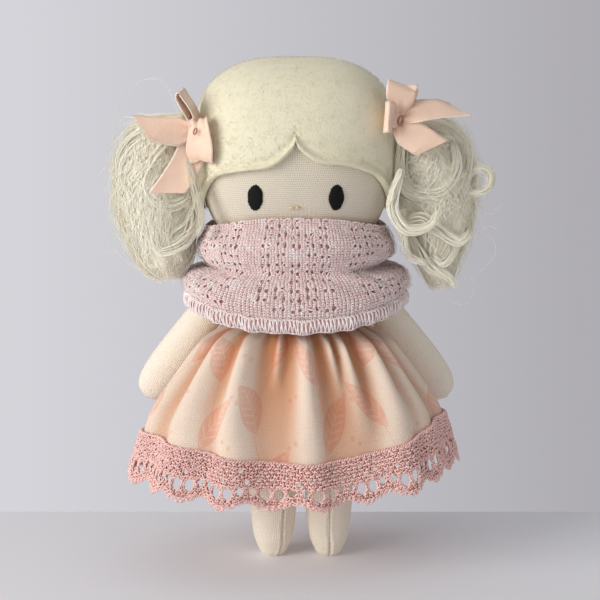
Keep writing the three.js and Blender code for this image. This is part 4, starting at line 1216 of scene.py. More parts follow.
cords = []
whole = np.linspace(0, lace_length, 176 * 8 + 1)
for start_drop, strands, radius, pitch in cord_rows:
    wave = start_drop + 0.12 * np.sin(whole * 2.1)
    route = np.stack([whole, wave], 1)
    cords += [lace_point(*strand) for strand in twisted_cord(route, strands, radius, pitch, 0.75)]
edge_along = np.linspace(0, lace_length, scallops * 90 + 1)
for lower in (0.0, 0.62):
    bumps = 0.22 * np.abs(np.sin(math.pi * edge_along / 1.65)) * (lower > 0)
    route = np.stack([edge_along, scallop_edge(edge_along) + lower + bumps], 1)
    cords += [lace_point(*strand) for strand in twisted_cord(route, 1, 0.26, 1.5, 0.6)]
cord_pieces = [(np.array([path]), lace_thread) for path in cords]
round_share = np.linspace(0, math.tau, 27)
rings = []
for k in range(scallops):
    middle = k * scallop_width
    for x, y, half_width, half_height, strands in lace_rings:
        wide = half_width * draw.uniform(0.92, 1.08)
        route = np.stack([
            middle + x + wide * np.sin(round_share),
            y + half_height * draw.uniform(0.94, 1.06) * np.cos(round_share)], 1)
        rings += [lace_point(*strand) for strand in twisted_cord(
            route, strands, 0.18, 1.4, draw.uniform(0.45, 0.75))]
    bar = np.linspace(bar_top, bar_bottom, 27)
    lean = draw.uniform(-0.3, 0.3) * np.sin((bar - bar_top) / (bar_bottom - bar_top) * math.pi)
    rings.append(lace_point(middle + lean, bar, 0.55 + 0.12 * np.sin(bar * 3)))
cord_pieces.append((np.array(rings), ring_thread))
lace_cords = []
for number, (paths, radius) in enumerate(cord_pieces):
    part = tubes(f"lace_cord_{number}", paths, radius, outwards(paths), 4)
    part.data.materials.append(crochet_cotton)
    lace_cords.append(part)
for piece in [lace_shade_net, lace_stitches] + lace_cords:
    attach(piece, "trunk")
    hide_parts("lace_trim")
[lace_stitches] + lace_cords

# Cowl: a tube of fine rose yarn, knitted with lace panels between plain ones, pulled up over the
# chin and slouched into two rolls with creases at the sides. A backing in a darker copy of the
# yarn shows in its holes: painted shade.
knit_thickness, knit_strand, fuzz_count, fuzz_radius = 2.2, 0.32, 4400, 0.035
cowl_top_z, cowl_hem_z = 115.9, 85.2
upper_roll_z, crease_z, lower_roll_z = 107.5, 98.7, 90.5
lower_roll_half_width, lower_roll_half_depth = 37.0, 27.8
crease_half_width, crease_half_depth = 30.0, 23.8
upper_roll_out = 1.9
cowl_hem_lift, cowl_back_square = 5.8, 1.9
# (depth, degrees from the front, degrees to a millimetre down, half width in degrees, half height)
slanted_folds = ((1.5, 45, 2.2, 3.5, 4.5), (1.3, -50, -1.8, 4.5, 4.0))
side_crease = 3.3
chin_width, chin_depth = head_size(np.array(cowl_top_z - 2), skin_gap + knit_thickness)
rim_width, rim_depth = head_size(np.array(cowl_top_z), skin_gap + knit_thickness)
# [height, half width, half depth, share of the lift at the sides]
cowl_stations = [
    [cowl_hem_z, lower_roll_half_width - 0.6, lower_roll_half_depth - 0.6, 1],
    [(cowl_hem_z + lower_roll_z) / 2, lower_roll_half_width, lower_roll_half_depth, 1],
    [lower_roll_z, lower_roll_half_width - 0.4, lower_roll_half_depth - 0.2, 0.8],
    [(lower_roll_z + crease_z) / 2 + 1, (lower_roll_half_width + crease_half_width) / 2 + 0.6,
     (lower_roll_half_depth + crease_half_depth) / 2 + 0.6, 0.35],
    [crease_z, crease_half_width, crease_half_depth, 0],
    [(crease_z + upper_roll_z) / 2, crease_half_width + upper_roll_out * 0.8,
     crease_half_depth + upper_roll_out, -0.1],
    [upper_roll_z, crease_half_width + upper_roll_out, crease_half_depth + upper_roll_out * 1.3,
     -0.25],
    [cowl_top_z - 2, chin_width - 0.5, chin_depth, -0.6],
    [cowl_top_z, rim_width - 1.4, rim_depth - 0.5, -0.75]]


def cowl_point(turn, z, inset, drop=0.0):
    """A point of the knit, inset from its outer face: an oval whose half sizes run through the
    stations, squarer behind where the arms push it out, and raised at the sides by its share.
    Soft dents are pressed in at the side creases and along two slanting folds in front."""
    half_width, half_depth, lift = read_along(cowl_stations, np.asarray(z, float))
    angle = turn * math.tau
    behind = np.cos(angle) < 0
    square = np.where(behind, cowl_back_square * np.maximum(lift, 0), 0)
    degrees = wrapped(turn * 360, 360)
    at_side = smooth(np.abs(degrees), 28, 72) * (1 - smooth(np.abs(degrees), 110, 140))
    wrinkle = side_crease * at_side * bell(z - 98.2 - 0.012 * degrees, 2.0)
    for depth, at, slant, half_width_across, half_height in slanted_folds:
        wrinkle = wrinkle + depth * bell(
            degrees - at + (z - 96) * slant, half_width_across) * bell(z - 95, half_height)
    wrinkle = wrinkle + 0.5 * np.sin(degrees * 0.11 + z * 0.25) * np.sin(z * 0.4 + degrees * 0.05)
    wrinkle = wrinkle * smooth(z, cowl_hem_z, cowl_hem_z + 2) * (1 - smooth(z, 112, 115))
    x, y = oval(turn, half_width - inset - wrinkle, half_depth - inset - wrinkle,
                head_plan_roundness + square)
    over_arms = np.abs(np.sin(angle)) ** np.where(behind & (square > 0), 0.7, 2.0)
    return np.stack([x, y, z - drop + cowl_hem_lift * lift * over_arms + 0 * x], axis=-1)


profile_turn, profile_steps = 0.06, 400
profile_z = np.linspace(cowl_hem_z, cowl_top_z, profile_steps)
profile = cowl_point(np.full(profile_steps, profile_turn), profile_z, 0.0)
profile_length = path_lengths(profile)
wales, courses = 162, 38
course_height = profile_length[-1] / courses
wale_width, wales_per_panel = 1.28, 27
knit_width = wale_width * wales
backing_outer_inset, backing_inner_inset = 1.25, 2.0

even_tables = []
for level in (crease_z, lower_roll_z):
    length = path_lengths(cowl_point(np.linspace(0, 1, 3001), level, 0.0))
    even_tables.append(length / length[-1])


def even_turn(along, lift):
    """The turn at a length round the knit, so that stitches are as wide behind as in front:
    read from the lengths round the crease and round the lower roll, mixed by the lift."""
    whole, share = np.divmod(along / knit_width, 1)
    at_crease, at_roll = [np.interp(share, table, np.linspace(0, 1, 3001)) for table in even_tables]
    return whole + at_crease + (at_roll - at_crease) * np.clip(lift, 0, 1)


def knit_place(along, up, inset):
    """A place on the knit, from millimetres round it and millimetres up its slack surface."""
    z = np.interp(up, profile_length, profile_z)
    return cowl_point(even_turn(along, read_along(cowl_stations, z)[2]), z, inset)


# Holes of one lace panel, in pairs up five columns, with some left out: [mm along, mm up, half
# width, half height]
hole_columns, hole_rows, hole_column_spacing, hole_row_spacing = 5, 12, 5.5, 3.05
hole_pair_half, hole_half_width, hole_half_height = 1.1, 1.0, 0.92
knit_holes = []
for column in range(hole_columns):
    for level in range(hole_rows):
        if (column * 7 + level * 5) % 11 == 0:
            continue
        middle = (column - 2) * hole_column_spacing + 0.5 * math.sin(level * 0.9 + column)
        for half in (-hole_pair_half, hole_pair_half):
            knit_holes.append([
                middle + half, 2.4 + level * hole_row_spacing + (0.5 if column % 2 else 0)
                + 0.25 * math.sin(level * 2.3 + half), hole_half_width, hole_half_height])
knit_holes = np.array(knit_holes)


def yarn_finish(name, hollow, light, pale):
    """Fuzzy rose yarn: plies of lighter fibre over a deeper strand, with pale flecks."""
    finish = Finish(name, 0.95, 0.45, (1, 0.93, 0.93))
    place = finish.solid_place()
    fibre = finish.noise(place, 1500, 3, 0.6)
    fleck = finish.noise(place, 330, 2).by("MULTIPLY_ADD", 4.0, -1.9).by("SMOOTH_MAX", 0.0, 0.1)
    colour = finish.mix(fibre, hollow, light)
    colour = finish.mix(fleck * 0.7, colour, pale)
    colour = finish.mix(finish.noise(place, 60, 2) * 0.25, colour, pale)
    return finish.done(colour, fibre, 0.18)


knit_yarn = yarn_finish("rose_yarn", (0.82, 0.57, 0.54), (0.95, 0.77, 0.74), (0.98, 0.92, 0.90))
# The backing is the rose yarn in darker colours: painted shade seen through the knit's holes.
shaded_backing_yarn = yarn_finish("rose_backing_shaded", (0.56, 0.29, 0.25), (0.72, 0.42, 0.37),
                           (0.78, 0.52, 0.48))
columns = 200
turns = np.arange(columns) / columns
backing_z = np.linspace(cowl_hem_z + 0.3, cowl_top_z - 0.3, 56)
section = np.array([(z, backing_outer_inset) for z in backing_z] + [
    (z, backing_inner_inset) for z in backing_z[::-1]])
backing_points = cowl_point(turns[None], section[:, :1], section[:, 1:])
cowl_backing = skin("cowl_backing", backing_points, None, ring=True)
cowl_backing.data.materials.append(shaded_backing_yarn)

draw = np.random.default_rng(5)
wale, course = np.meshgrid(np.arange(wales), np.arange(courses))
wale, course = wale.ravel(), course.ravel()
stitch_along = (wale + 0.5) * wale_width
stitch_up = (course + 0.5) * course_height
count = len(stitch_along)
loops_along, loops_up, loops_out = stitch_loops(
    stitch_along + draw.uniform(-0.08, 0.08, count), stitch_up + draw.uniform(-0.08, 0.08, count),
    wale_width, -course_height * 0.62, 0.2, draw.uniform(-0.14, 0.14, count))
loops_along, loops_up = pushed_open(
    loops_along, loops_up, knit_holes, wale_width * wales_per_panel)
loops_up = np.clip(loops_up, 0, profile_length[-1])
knit_points = knit_place(
    loops_along, loops_up, 0.62 - loops_out - draw.uniform(-0.1, 0.1, (count, 1)))
quarter = (stitch_along / knit_width * 4).astype(int)
knit_pieces = []
for number in range(4):
    chosen = knit_points[quarter == number]
    knit = tubes(f"cowl_knit_{number}", chosen, knit_strand, outwards(chosen), 4)
    knit.data.materials.append(knit_yarn)
    knit_pieces.append(knit)

fuzz_turn = draw.uniform(0, 1, fuzz_count)
fuzz_up = draw.uniform(0, profile_length[-1], fuzz_count)
station = np.linspace(0, 1, 4)[None]
lean = draw.uniform(-2.2, 2.2, (2, fuzz_count, 1)) * station
curl = 0.4 * np.sin(station * 4 + draw.uniform(0, 6, (fuzz_count, 1)))
fuzz_along = fuzz_turn[:, None] * knit_width + lean[0] + curl
fuzz_up = np.clip(fuzz_up[:, None] + lean[1] - curl, 0, profile_length[-1])
fuzz_out = 0.1 + draw.uniform(0.2, 1.1, (fuzz_count, 1)) * np.sin(station * 2.4)
cowl_fuzz = tubes("cowl_fuzz", knit_place(fuzz_along, fuzz_up, 0.15 - fuzz_out), fuzz_radius,
                  (0.02, 0.03, 1.0), 3)
cowl_fuzz.data.materials.append(knit_yarn)
for piece in [cowl_backing, cowl_fuzz] + knit_pieces:
    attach(piece, "trunk")
    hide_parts("cowl")

# Cowl's hem: the cut edge of the knit, rolled under and overlocked. Slanted and crossing threads
# go round the roll, and four looping threads run along it.
hem_roll_height, hem_roll_thickness, hem_inset = 4.6, 2.6, 0.45
overlock_stitches, overlock_thread, chain_thread, chain_pitch = 170, 0.27, 0.24, 1.38


def hem_place(along, angle, out):
    """A place on the rolled hem: millimetres round it, and the angle round the roll."""
    turn = even_turn(along, 1.0)
    wide = (hem_roll_thickness / 2 - hem_inset + out) * np.cos(angle)
    high = (hem_roll_height / 2 - hem_inset + out) * np.sin(angle)
    ripple = 0.35 * np.sin(turn * math.tau * 31) + 0.25 * np.sin(turn * math.tau * 17 + 1)
    middle = skin_gap + hem_roll_height / 2
    return cowl_point(turn, np.full(np.shape(turn), cowl_hem_z), knit_thickness / 2 - wide
                      - ripple * 0.6, middle - high + ripple * 0.5)


roll_along = np.arange(240) / 240 * knit_width
roll_angle = np.arange(12) / 12 * math.tau
roll_points = hem_place(*np.broadcast_arrays(roll_along[None], roll_angle[:, None]), 0.0)
hem_roll = skin("cowl_hem_roll", roll_points, None, ring=True)
# The rolled knit is the cowl's yarn in darker colours: painted shade under the overlock threads.
hem_roll_shade = yarn_finish("hem_rose_shaded", (0.60, 0.34, 0.31), (0.80, 0.56, 0.53), (0.88, 0.70, 0.68))
hem_roll.data.materials.append(hem_roll_shade)
hem_thread = yarn_finish("hem_thread", (0.84, 0.65, 0.63), (0.95, 0.84, 0.82), (0.98, 0.94, 0.93))
start = (np.arange(overlock_stitches) / overlock_stitches * knit_width)[:, None]
station = np.linspace(0, 1, 13)[None]
around = math.pi * (0.62 - 1.24 * station)
lean = draw.uniform(1.1, 2.4, (overlock_stitches, 1))
slanted = hem_place(start + lean * station, around + 0 * start, 0.38)
crossing = hem_place(start + 1.2 - 1.3 * station, around + 0 * start, 0.26)
overlock = tubes("cowl_hem_overlock", np.concatenate([slanted, crossing]), overlock_thread,
                 (0.02, 1.0, 0.03), 5)
overlock.data.materials.append(hem_thread)
# Chain threads: (middle angle round the roll in half turns, phase)
chain_places = ((0.36, 0), (-0.42, 2), (-0.55, 4), (0.5, 1))
chains = []
whole = np.linspace(0, knit_width, 1500)
for middle_angle, phase in chain_places:
    swing = middle_angle * math.pi + 0.16 * np.sin(whole * math.tau / chain_pitch + phase)
    chains.append(hem_place(
        whole, swing, 0.38 + 0.12 * np.cos(whole * 4 * math.pi / chain_pitch)))
chain = tubes("cowl_hem_chain", np.array(chains), chain_thread, (0.02, 0.03, 1.0), 5)
chain.data.materials.append(hem_thread)
for piece in (hem_roll, overlock, chain):
    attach(piece, "trunk")
    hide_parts("cowl_hem")

# Bows: satin ribbon of nine and a half millimetres, tied in a bow on each side of the cap and
# held there by a few turns of thread. Each has a loop up, a loop in front and two slanted tails.
ribbon_width, ribbon_thickness, ribbon_knot = 9.5, 0.34, 5.0
bow_x, bow_y = head_half_width + skin_gap, -14.4
left_bow_z, right_bow_z = 142.8, 146.0
front_loop_out, knot_depth_share = 0.54, 0.42
ribbon_peach = (0.95, 0.72, 0.56)


def through(route):
    """Stations for read_along of a smooth path through points: each comes after the one before
    by the square root of the distance between them."""
    spacing = np.sqrt(np.linalg.norm(np.diff(route, axis=0), axis=1))
    return np.column_stack([np.concatenate([[0], np.cumsum(spacing)]), route])


def ribbon_strip(name, route, across, across_end, slant, loop, cup, gather, knot_z, side, seed):
    """A strip of ribbon along a smooth route, in ribbon widths from the knot [towards +X, out,
    up]. Its width turns from one direction to another and is gathered over a share of it at
    the knot, its face is cupped by the square of the distance from its middle, and its far end
    may be cut aslant."""
    route = np.array([side * bow_x, bow_y, knot_z]) + np.array(route) * [
        ribbon_width, -ribbon_width, ribbon_width]
    stations = through(route)
    rows, half_columns = 90, 13
    t = np.linspace(0, 1, rows)
    middle = read_along(stations, t * stations[-1, 0]).T
    heading = unit(np.gradient(middle, axis=0))
    wide = np.array(across, float) + (np.array(across_end, float) - across) * t[:, None]
    wide = unit(wide - heading * np.sum(wide * heading, axis=1, keepdims=True))
    normal = np.cross(heading, wide)
    from_knot = np.minimum(t, 1 - t) if loop else t
    gathered = 1 - smooth(from_knot, 0, gather)
    half = ribbon_width / 2 * (1 - 0.55 * gathered)
    edge = np.linspace(-1, 1, half_columns)
    edge = np.concatenate([edge, edge[::-1]])[None]
    face = np.repeat([1.0, -1.0], half_columns)[None]
    draw = np.random.default_rng(seed)
    folds = 0.75 * gathered[:, None] ** 1.5 * np.sin(edge * 7.5 + draw.uniform(0, 6))
    waves = 0.10 * np.sin(t[:, None] * 11 + edge * 1.3 + draw.uniform(0, 6))
    rise = cup * (edge ** 2 - 0.4) * (1 - gathered[:, None]) + folds + waves
    selvage = 1 + 0.25 * smooth(np.abs(edge), 0.86, 0.95)
    rise = rise + face * ribbon_thickness / 2 * selvage
    along = slant * ribbon_width * edge * smooth(t, 0.6, 1.0)[:, None]
    points = (middle[:, None] + wide[:, None] * (edge * half[:, None])[..., None]
              + normal[:, None] * rise[..., None] + heading[:, None] * along[..., None])
    ends = points.mean(axis=1, keepdims=True) * np.ones((1, points.shape[1], 1))
    points = np.concatenate([ends[:1], points, ends[-1:]])
    length = path_lengths(middle)
    length = np.concatenate([length[:1], length, length[-1:]])
    cloth = np.stack(np.broadcast_arrays(
        np.concatenate([edge[0], edge[0, :1]])[None] * ribbon_width / 2, length[:, None]), axis=2)
    return skin(name, points, cloth, poles=True)


def knot_wrap(name, side, knot_z):
    """The knot: a swollen rounded band whose creases run up it, from the ribbon's own folds."""
    rows, columns = 40, 56
    v = np.linspace(0, 1, rows)[:, None]
    turns = (np.arange(columns) / columns)[None]
    swell = np.sin(v * math.pi) ** 0.5
    crease = 1 + 0.07 * np.sin(turns * math.tau * 7 + 2 * np.sin(v * 4)) + 0.05 * np.sin(
        turns * math.tau * 11 + v * 3)
    x, out = oval(turns, ribbon_knot / 2 * 0.96, ribbon_knot * knot_depth_share * 0.96, 2.6)
    points = np.stack([
        side * bow_x + x * swell * crease, bow_y + out * swell * crease,
        knot_z - ribbon_knot / 2 * np.cos(v * math.pi) + 0 * x], axis=2)
    return skin(name, points, cloth_lengths(points), poles=True)


def satin_finish():
    """Peach satin ribbon: floats of fine thread that shine along it, a corded selvage at each
    edge, and faint cross ribs."""
    finish = Finish("peach_satin", 0.36, 0.35, (1, 0.9, 0.84), 0.45, 0.4)
    place, across, up = finish.cloth_place()
    rib = (up * (math.tau / 0.42)).by("SINE")
    edge = abs(across).by("MULTIPLY_ADD", 5.0, -21.3).by("MAXIMUM", 0.0).by("MINIMUM", 1.0)
    colour = finish.mix(finish.noise(place, 0.4, 2), (0.88, 0.60, 0.44), ribbon_peach)
    colour = finish.mix(edge * 0.5, colour, (0.98, 0.87, 0.80))
    colour = finish.mix(rib.by("MULTIPLY_ADD", 0.06, 0.06), colour, (0.80, 0.50, 0.36))
    return finish.done(colour, rib * 0.35 + (edge * 12.0).by("SINE") * 0.5, 0.04)


peach_satin = satin_finish()
# (name, route, its width's direction at the start, at the end, slant of the cut end, whether it
# is a loop, cup, share gathered)
left_bow = (
    ("up_loop", [[-0.09, 0, 0], [-0.3, 0, 0.6], [-0.56, 0.03, 1.1], [-0.5, 0.05, 1.27],
                 [-0.36, 0.03, 1.08], [-0.06, 0.02, 0.6], [0.09, 0, 0]],
     (0.14, 1, 0.1), (0.14, 1, 0.1), 0, True, 0.2, 0.28),
    ("front_loop", [[0, 0.02, 0.12], [0.06, 0.36, 0.36], [0.12, front_loop_out, 0.22],
                    [0.14, front_loop_out, -0.3], [0.15, 0.52, -0.8], [0.18, 0.36, -0.98],
                    [0.12, 0.26, -0.6], [0, 0.02, -0.12]],
     (1, -0.5, 0.1), (1, -0.5, -0.12), 0, True, 0.7, 0.55),
    ("out_tail", [[0, 0.06, 0], [-0.7, 0.2, -0.02], [-1.3, 0.24, 0.06], [-1.82, 0.2, 0.12]],
     (0, 0.2, 1), (0, 0.9, 0.85), 0.37, False, 0.5, 0.34),
    ("down_tail", [[0, 0.06, -0.1], [-0.2, 0.22, -0.8], [-0.56, 0.26, -1.45],
                   [-0.98, 0.24, -2.04]],
     (1, 0.1, -0.25), (1, 0.1, -0.25), -0.34, False, 0.4, 0.28))
right_bow = (
    ("up_loop", [[0.06, 0.1, 0.08], [0.16, 0.2, 0.6], [0.18, 0.22, 1.02], [0.24, 0, 1.14],
                 [0.24, -0.1, 0.7], [0.08, -0.08, 0.1]],
     (1, 0.15, -0.3), (1, 0.15, -0.3), 0, True, 0.2, 0.34),
    ("front_loop", [[-0.1, 0.02, 0], [-0.32, 0.34, 0.1], [-0.37, 0.68, 0.12],
                    [-0.25, 0.8, 0.14], [-0.14, 0.62, 0.12], [-0.07, 0.3, 0.06],
                    [0.02, 0.04, 0]],
     (0.1, 0, 1), (0.1, 0, 1), 0, True, 0.1, 0.28),
    ("out_tail", [[0, 0.06, 0.04], [0.7, 0.22, 0.28], [1.4, 0.2, 0.36], [2.1, 0.14, 0.34]],
     (0, 0.5, 0.8), (0, 0.9, 0.36), -0.3, False, 0.4, 0.4),
    ("down_tail", [[0, 0.08, -0.1], [0.4, 0.3, -0.38], [0.85, 0.36, -0.68],
                   [1.18, 0.34, -0.9]],
     (-0.6, 0.1, -0.8), (-0.6, 0.1, -0.8), -0.3, False, 0.35, 0.34))
for name, strips, side, knot_z in (
        ("bow_left", left_bow, -1, left_bow_z), ("bow_right", right_bow, 1, right_bow_z)):
    bow = [knot_wrap(name + "_knot", side, knot_z)]
    for number, (part, *shape) in enumerate(strips):
        bow.append(ribbon_strip(f"{name}_{part}", *shape, knot_z, side, number + 3))
    for piece in bow:
        piece.data.materials.append(peach_satin)
        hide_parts(name)
        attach(piece, "trunk")

# Bow stitches: a few turns of peach thread that hold each bow to the cap.
peach_thread = thread_finish("peach_thread", (0.36, 0.15, 0.08), (0.62, 0.32, 0.20))
bow_thread = 0.17
over_front_loop = front_loop_out * ribbon_width + 0.5
over_knot = ribbon_knot * knot_depth_share
for name, x, y, z, half_width, half_height in (
        ("bow_stitch_left", -bow_x, bow_y - over_front_loop, left_bow_z, 0.45, 0.95),
        ("bow_stitch_right", bow_x + ribbon_knot * 0.3, bow_y - over_knot, right_bow_z, 0.7, 1.5)):
    t = np.linspace(0, 1, 90)
    angle = t * 3 * math.tau
    turning = half_width * (1 + 0.25 * np.sin(angle * 0.37))
    path = np.stack([
        x + turning * np.cos(angle) + 0.25 * np.sin(angle), y - 0.25 - 0.3 * np.abs(np.sin(angle)),
        z + half_height * np.sin(angle)], axis=1)
    stitch = tubes(name + "_turns", path[None], bow_thread, (0.02, 1.0, 0.03))
    stitch.data.materials.append(peach_thread)
    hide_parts(name)
    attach(stitch, "trunk")

# Pigtails: washed mohair curls, gathered and sewn on under each bow. Strands lie together in
# curling clumps round a soft core. The left one is a cloud, and the right one has ringlets.
pigtail_root_x, pigtail_root_z = head_half_width + felt_thickness + 1.1, 147.0
core_share, strand_radius, sweep_radius = 0.91, 0.085, 0.10
wisp_radius, loose_radius = 0.045, 0.03
# Wisps: (name, count, factor on the lock's radius, millimetres added to it)
wisp_layers = (("near", 340, 1.02, 0.7), ("far", 120, 1.14, 1.6))
# [share down the lock, mm out from its root, mm below it, radius]
left_lock = [[0, 2.2, -1, 3], [0.12, 5.6, 4, 7.5], [0.32, 10, 12, 12.4], [0.56, 11.8, 25, 13.2],
             [0.8, 10, 40, 11.4], [0.93, 8.6, 49, 7.6], [1, 7.4, 53, 3]]
right_lock = [[0, 2, -1, 3], [0.12, 5, 4, 7], [0.32, 10, 12, 11.4], [0.56, 12.4, 25, 12],
              [0.8, 12.8, 40, 9.6], [0.93, 13.4, 50, 5.5], [1, 14.4, 56, 3]]


def clear_of_doll(points, margin):
    """Moves hair that would run into the cap or the cowl straight out, away from the doll's
    upright axis, until it lies on them."""
    for form in ("head", "cowl"):
        z = points[..., 2]
        if form == "head":
            half_width, half_depth = head_size(z, felt_thickness + margin)
            inside = np.abs(z - head_middle_z) < head_drop
        else:
            half_width, half_depth, lift = read_along(cowl_stations, z)
            half_width, half_depth = half_width + margin, half_depth + margin
            inside = (z > cowl_hem_z) & (z < cowl_top_z)
        half_width, half_depth = np.maximum(half_width, 1), np.maximum(half_depth, 1)
        size = (np.abs(points[..., 0] / half_width) ** head_plan_roundness
                + np.abs(points[..., 1] / half_depth) ** head_plan_roundness)
        size = np.maximum(size, 1e-3) ** (1 / head_plan_roundness)
        grow = np.where(inside & (size < 1), 1 / size, 1)
        points = points * np.stack([grow, grow, np.ones_like(grow)], axis=-1)
    return points


def lock_place(side, stations, share):
    """The middle line of a lock, its radius, and the level direction square to it."""
    x, down, radius = read_along(stations, share)
    ahead_x, ahead_down, _ = read_along(stations, share + 0.01)
    behind_x, behind_down, _ = read_along(stations, share - 0.01)
    lean = np.arctan2(ahead_x - behind_x, ahead_down - behind_down)
    middle = np.stack([side * (pigtail_root_x + x), 0 * x, pigtail_root_z - down], axis=-1)
    square = np.stack([side * np.cos(lean), 0 * x, np.sin(lean)], axis=-1)
    return middle, radius, square


def curled_clumps(side, stations, clumps, strands, curl, coils, draw, low, width, ruffle):
    """Paths of strands [strand, station, 3] that lie on the lock like ribs. A clump runs down
    the lock at its own angle and waves about that line, along the surface by amount cos(turned)
    and out of it by 0.28 amount sin(turned); its strands lie side by side over a round back,
    opening out below the root, each with three sines of its own of amount ruffle / waves."""
    t = np.linspace(0, 1, 22)[None, None]
    shape = (clumps, 1, 1)
    each = (clumps, strands, 1)
    share = t * draw.uniform(0.66, 1.1, shape) * draw.uniform(0.9, 1.0, each)
    middle, radius, square = lock_place(side, stations, share)
    opening = smooth(t, -0.05, 0.25)
    amount = curl * draw.uniform(0.5, 1.25, shape) * smooth(t, 0.02, 0.3) * (1 - 0.3 * t)
    turned = math.tau * coils * draw.uniform(0.7, 1.25, shape) * t ** 1.15 * draw.choice(
        [-1, 1], shape) + draw.uniform(0, math.tau, shape)
    beside = draw.uniform(-1, 1, each)
    aside = amount * np.cos(turned) + width * beside * (0.4 + 0.6 * opening + 0.5 * t ** 3)
    out = 0.28 * amount * np.sin(turned) + 0.5 * (1 - beside ** 2) + draw.uniform(-0.3, 0.2, each)
    for waves in (2.5, 5.5, 11.0):
        phase = draw.uniform(0, math.tau, (2, *each))
        aside = aside + ruffle / waves * np.sin(math.tau * waves * t + phase[0])
        out = out + 0.4 * ruffle / waves * np.sin(math.tau * waves * t + phase[1])
    size = radius * draw.uniform(low, 1.0, shape) * opening + out * opening
    angle = draw.uniform(0, math.tau, shape) + draw.uniform(-0.7, 0.7, shape) * t + (
        aside / np.maximum(radius, 2.5))
    points = middle + (size * np.cos(angle))[..., None] * square + (
        size * np.sin(angle) * 0.88)[..., None] * np.array([0.0, 1.0, 0.0])
    points[..., 2] += draw.normal(0, 0.5, each) * t ** 2
    return points.reshape(clumps * strands, -1, 3)


def swept_clump(guide, strands, width, draw, stations=26):
    """Strands along one guide through given points, wound a little about each other."""
    table = through(guide)
    t = np.linspace(0, 1, stations)[None] * draw.uniform(0.9, 1.0, (strands, 1))
    middle = np.moveaxis(read_along(table, t * table[-1, 0]), 0, -1)
    heading = unit(np.gradient(middle, axis=1))
    first = unit(np.cross(heading, (0.05, 1.0, 0.02)))
    second = np.cross(heading, first)
    start = draw.uniform(0, math.tau, (strands, 1))
    size = np.sqrt(draw.uniform(0, 1.3, (strands, 1))) * width * (0.55 + 0.85 * np.sin(
        math.pi * np.clip(t, 0, 1) ** 0.8))
    turned = start + 2.2 * t
    wave = 0.12 * np.sin(math.tau * 4 * t + start * 5)
    return middle + (size * np.cos(turned) + wave)[..., None] * first + (
        size * np.sin(turned))[..., None] * second


def mohair_finish():
    """Cream mohair: each strand has its own tone and a soft shine."""
    finish = Finish("mohair", 0.6, 0.9, (1, 0.98, 0.92), 0.4)
    place = finish.solid_place()
    colour = finish.mix(finish.attribute("tone"), (0.97, 0.89, 0.66), (1.0, 0.975, 0.86))
    colour = finish.mix(finish.noise(place, 120, 3) * 0.25, colour, (0.98, 0.92, 0.74))
    return finish.done(colour, finish.noise(place, 2200, 2), 0.05)


mohair = mohair_finish()


def mohair_strands(name, paths, radius, side, stations, tones):
    """Fine strands of three sides, a flat side turned away from the lock's middle line."""
    share = np.linspace(0, 1, 60)
    middle = lock_place(side, stations, share)[0]
    middle_x = np.interp(-paths[..., 2], -middle[:, 2], middle[:, 0])
    away = np.stack([paths[..., 0] - middle_x, paths[..., 1], 0.15 + 0 * middle_x], axis=-1)
    return tubes(name, paths, radius, away, 3, tones, -math.pi / 2)


def view_plane(points, y):
    """Places given as millimetres across and up, put at a depth."""
    points = np.asarray(points, float)
    deep = np.broadcast_to(y, len(points))
    return np.stack([points[:, 0], deep, points[:, 1]], axis=1)


# Swept clumps: ([(mm across, mm up)...], depth, half width of the clump, strands)
left_guides = [
    ([(-36, 146), (-45, 143), (-53, 137), (-55.5, 128), (-52, 119)], -7, 1.8, 46),
    ([(-37, 144), (-44, 134), (-47, 126), (-42, 119), (-35, 121), (-35, 127)], -10, 1.7, 46),
    ([(-38, 140), (-47, 131), (-52, 121), (-51, 112), (-46, 106)], -8, 1.9, 46),
    ([(-34, 126), (-32, 120), (-34, 113), (-39, 108), (-37, 100)], -9.5, 1.7, 46),
    ([(-34, 134), (-31.5, 125), (-29.5, 116), (-31, 109)], -17, 1.1, 30),
    ([(-40, 122), (-33, 117), (-35, 108), (-43, 104), (-46, 110), (-41, 114)], -9.5, 1.6, 46)]
# Single fibres that stand off the left lock: [(mm across, mm up)...]
left_loose = [
    [(-37, 147), (-42, 158), (-50, 158), (-56.5, 149), (-59, 137), (-58, 124), (-59, 113)],
    [(-54, 124), (-59, 116), (-62, 109), (-61, 103.5), (-57, 104), (-57.5, 108)],
    [(-52, 118), (-58, 113), (-59.5, 105), (-55, 100), (-50, 97)],
    [(-45, 146), (-55, 142), (-60, 133), (-59, 125), (-55, 120)]]
right_guides = [
    ([(34, 142), (33, 133), (34, 126), (40, 122.5), (47, 124), (51, 131), (50, 139)], -10, 1.8, 60),
    ([(36, 145), (46, 143), (53, 138), (54, 129), (51, 121), (45, 117)], -6, 1.8, 50),
    ([(47, 118), (52, 125), (57.5, 130), (62, 128.5), (61, 123.5), (54, 121.5), (48, 117)],
     -6, 1.0, 44),
    ([(33, 131), (31, 124), (30.5, 118), (35, 112), (42, 113), (45, 118)], -16, 1.3, 44),
    ([(32, 117), (35, 113.5), (40, 114.5), (45, 111), (52, 107.5), (56, 111)], -11, 1.6, 46),
    ([(35, 112), (39, 104), (43, 99), (49, 95.5), (52, 91.5)], -8, 1.3, 44),
    ([(40, 118), (46, 112), (50, 105), (47, 100), (43, 103)], -8, 1.5, 46),
    ([(34, 118), (34, 110), (36, 103), (42, 100)], -11, 1.2, 36)]
right_loose = [
    [(50, 101), (54, 96), (55, 100), (58.5, 106.5), (62.5, 107.8), (64, 103), (61.2, 98.4),
     (56.9, 94.8), (60, 91)],
    [(52, 122), (58, 118), (63, 116), (67, 119)],
    [(52, 142), (57, 138), (58, 131), (56, 126)],
    [(48, 112), (56, 108), (62, 112), (66, 110)],
    [(46, 100), (52, 97), (57, 90), (54, 86), (49, 88)]]
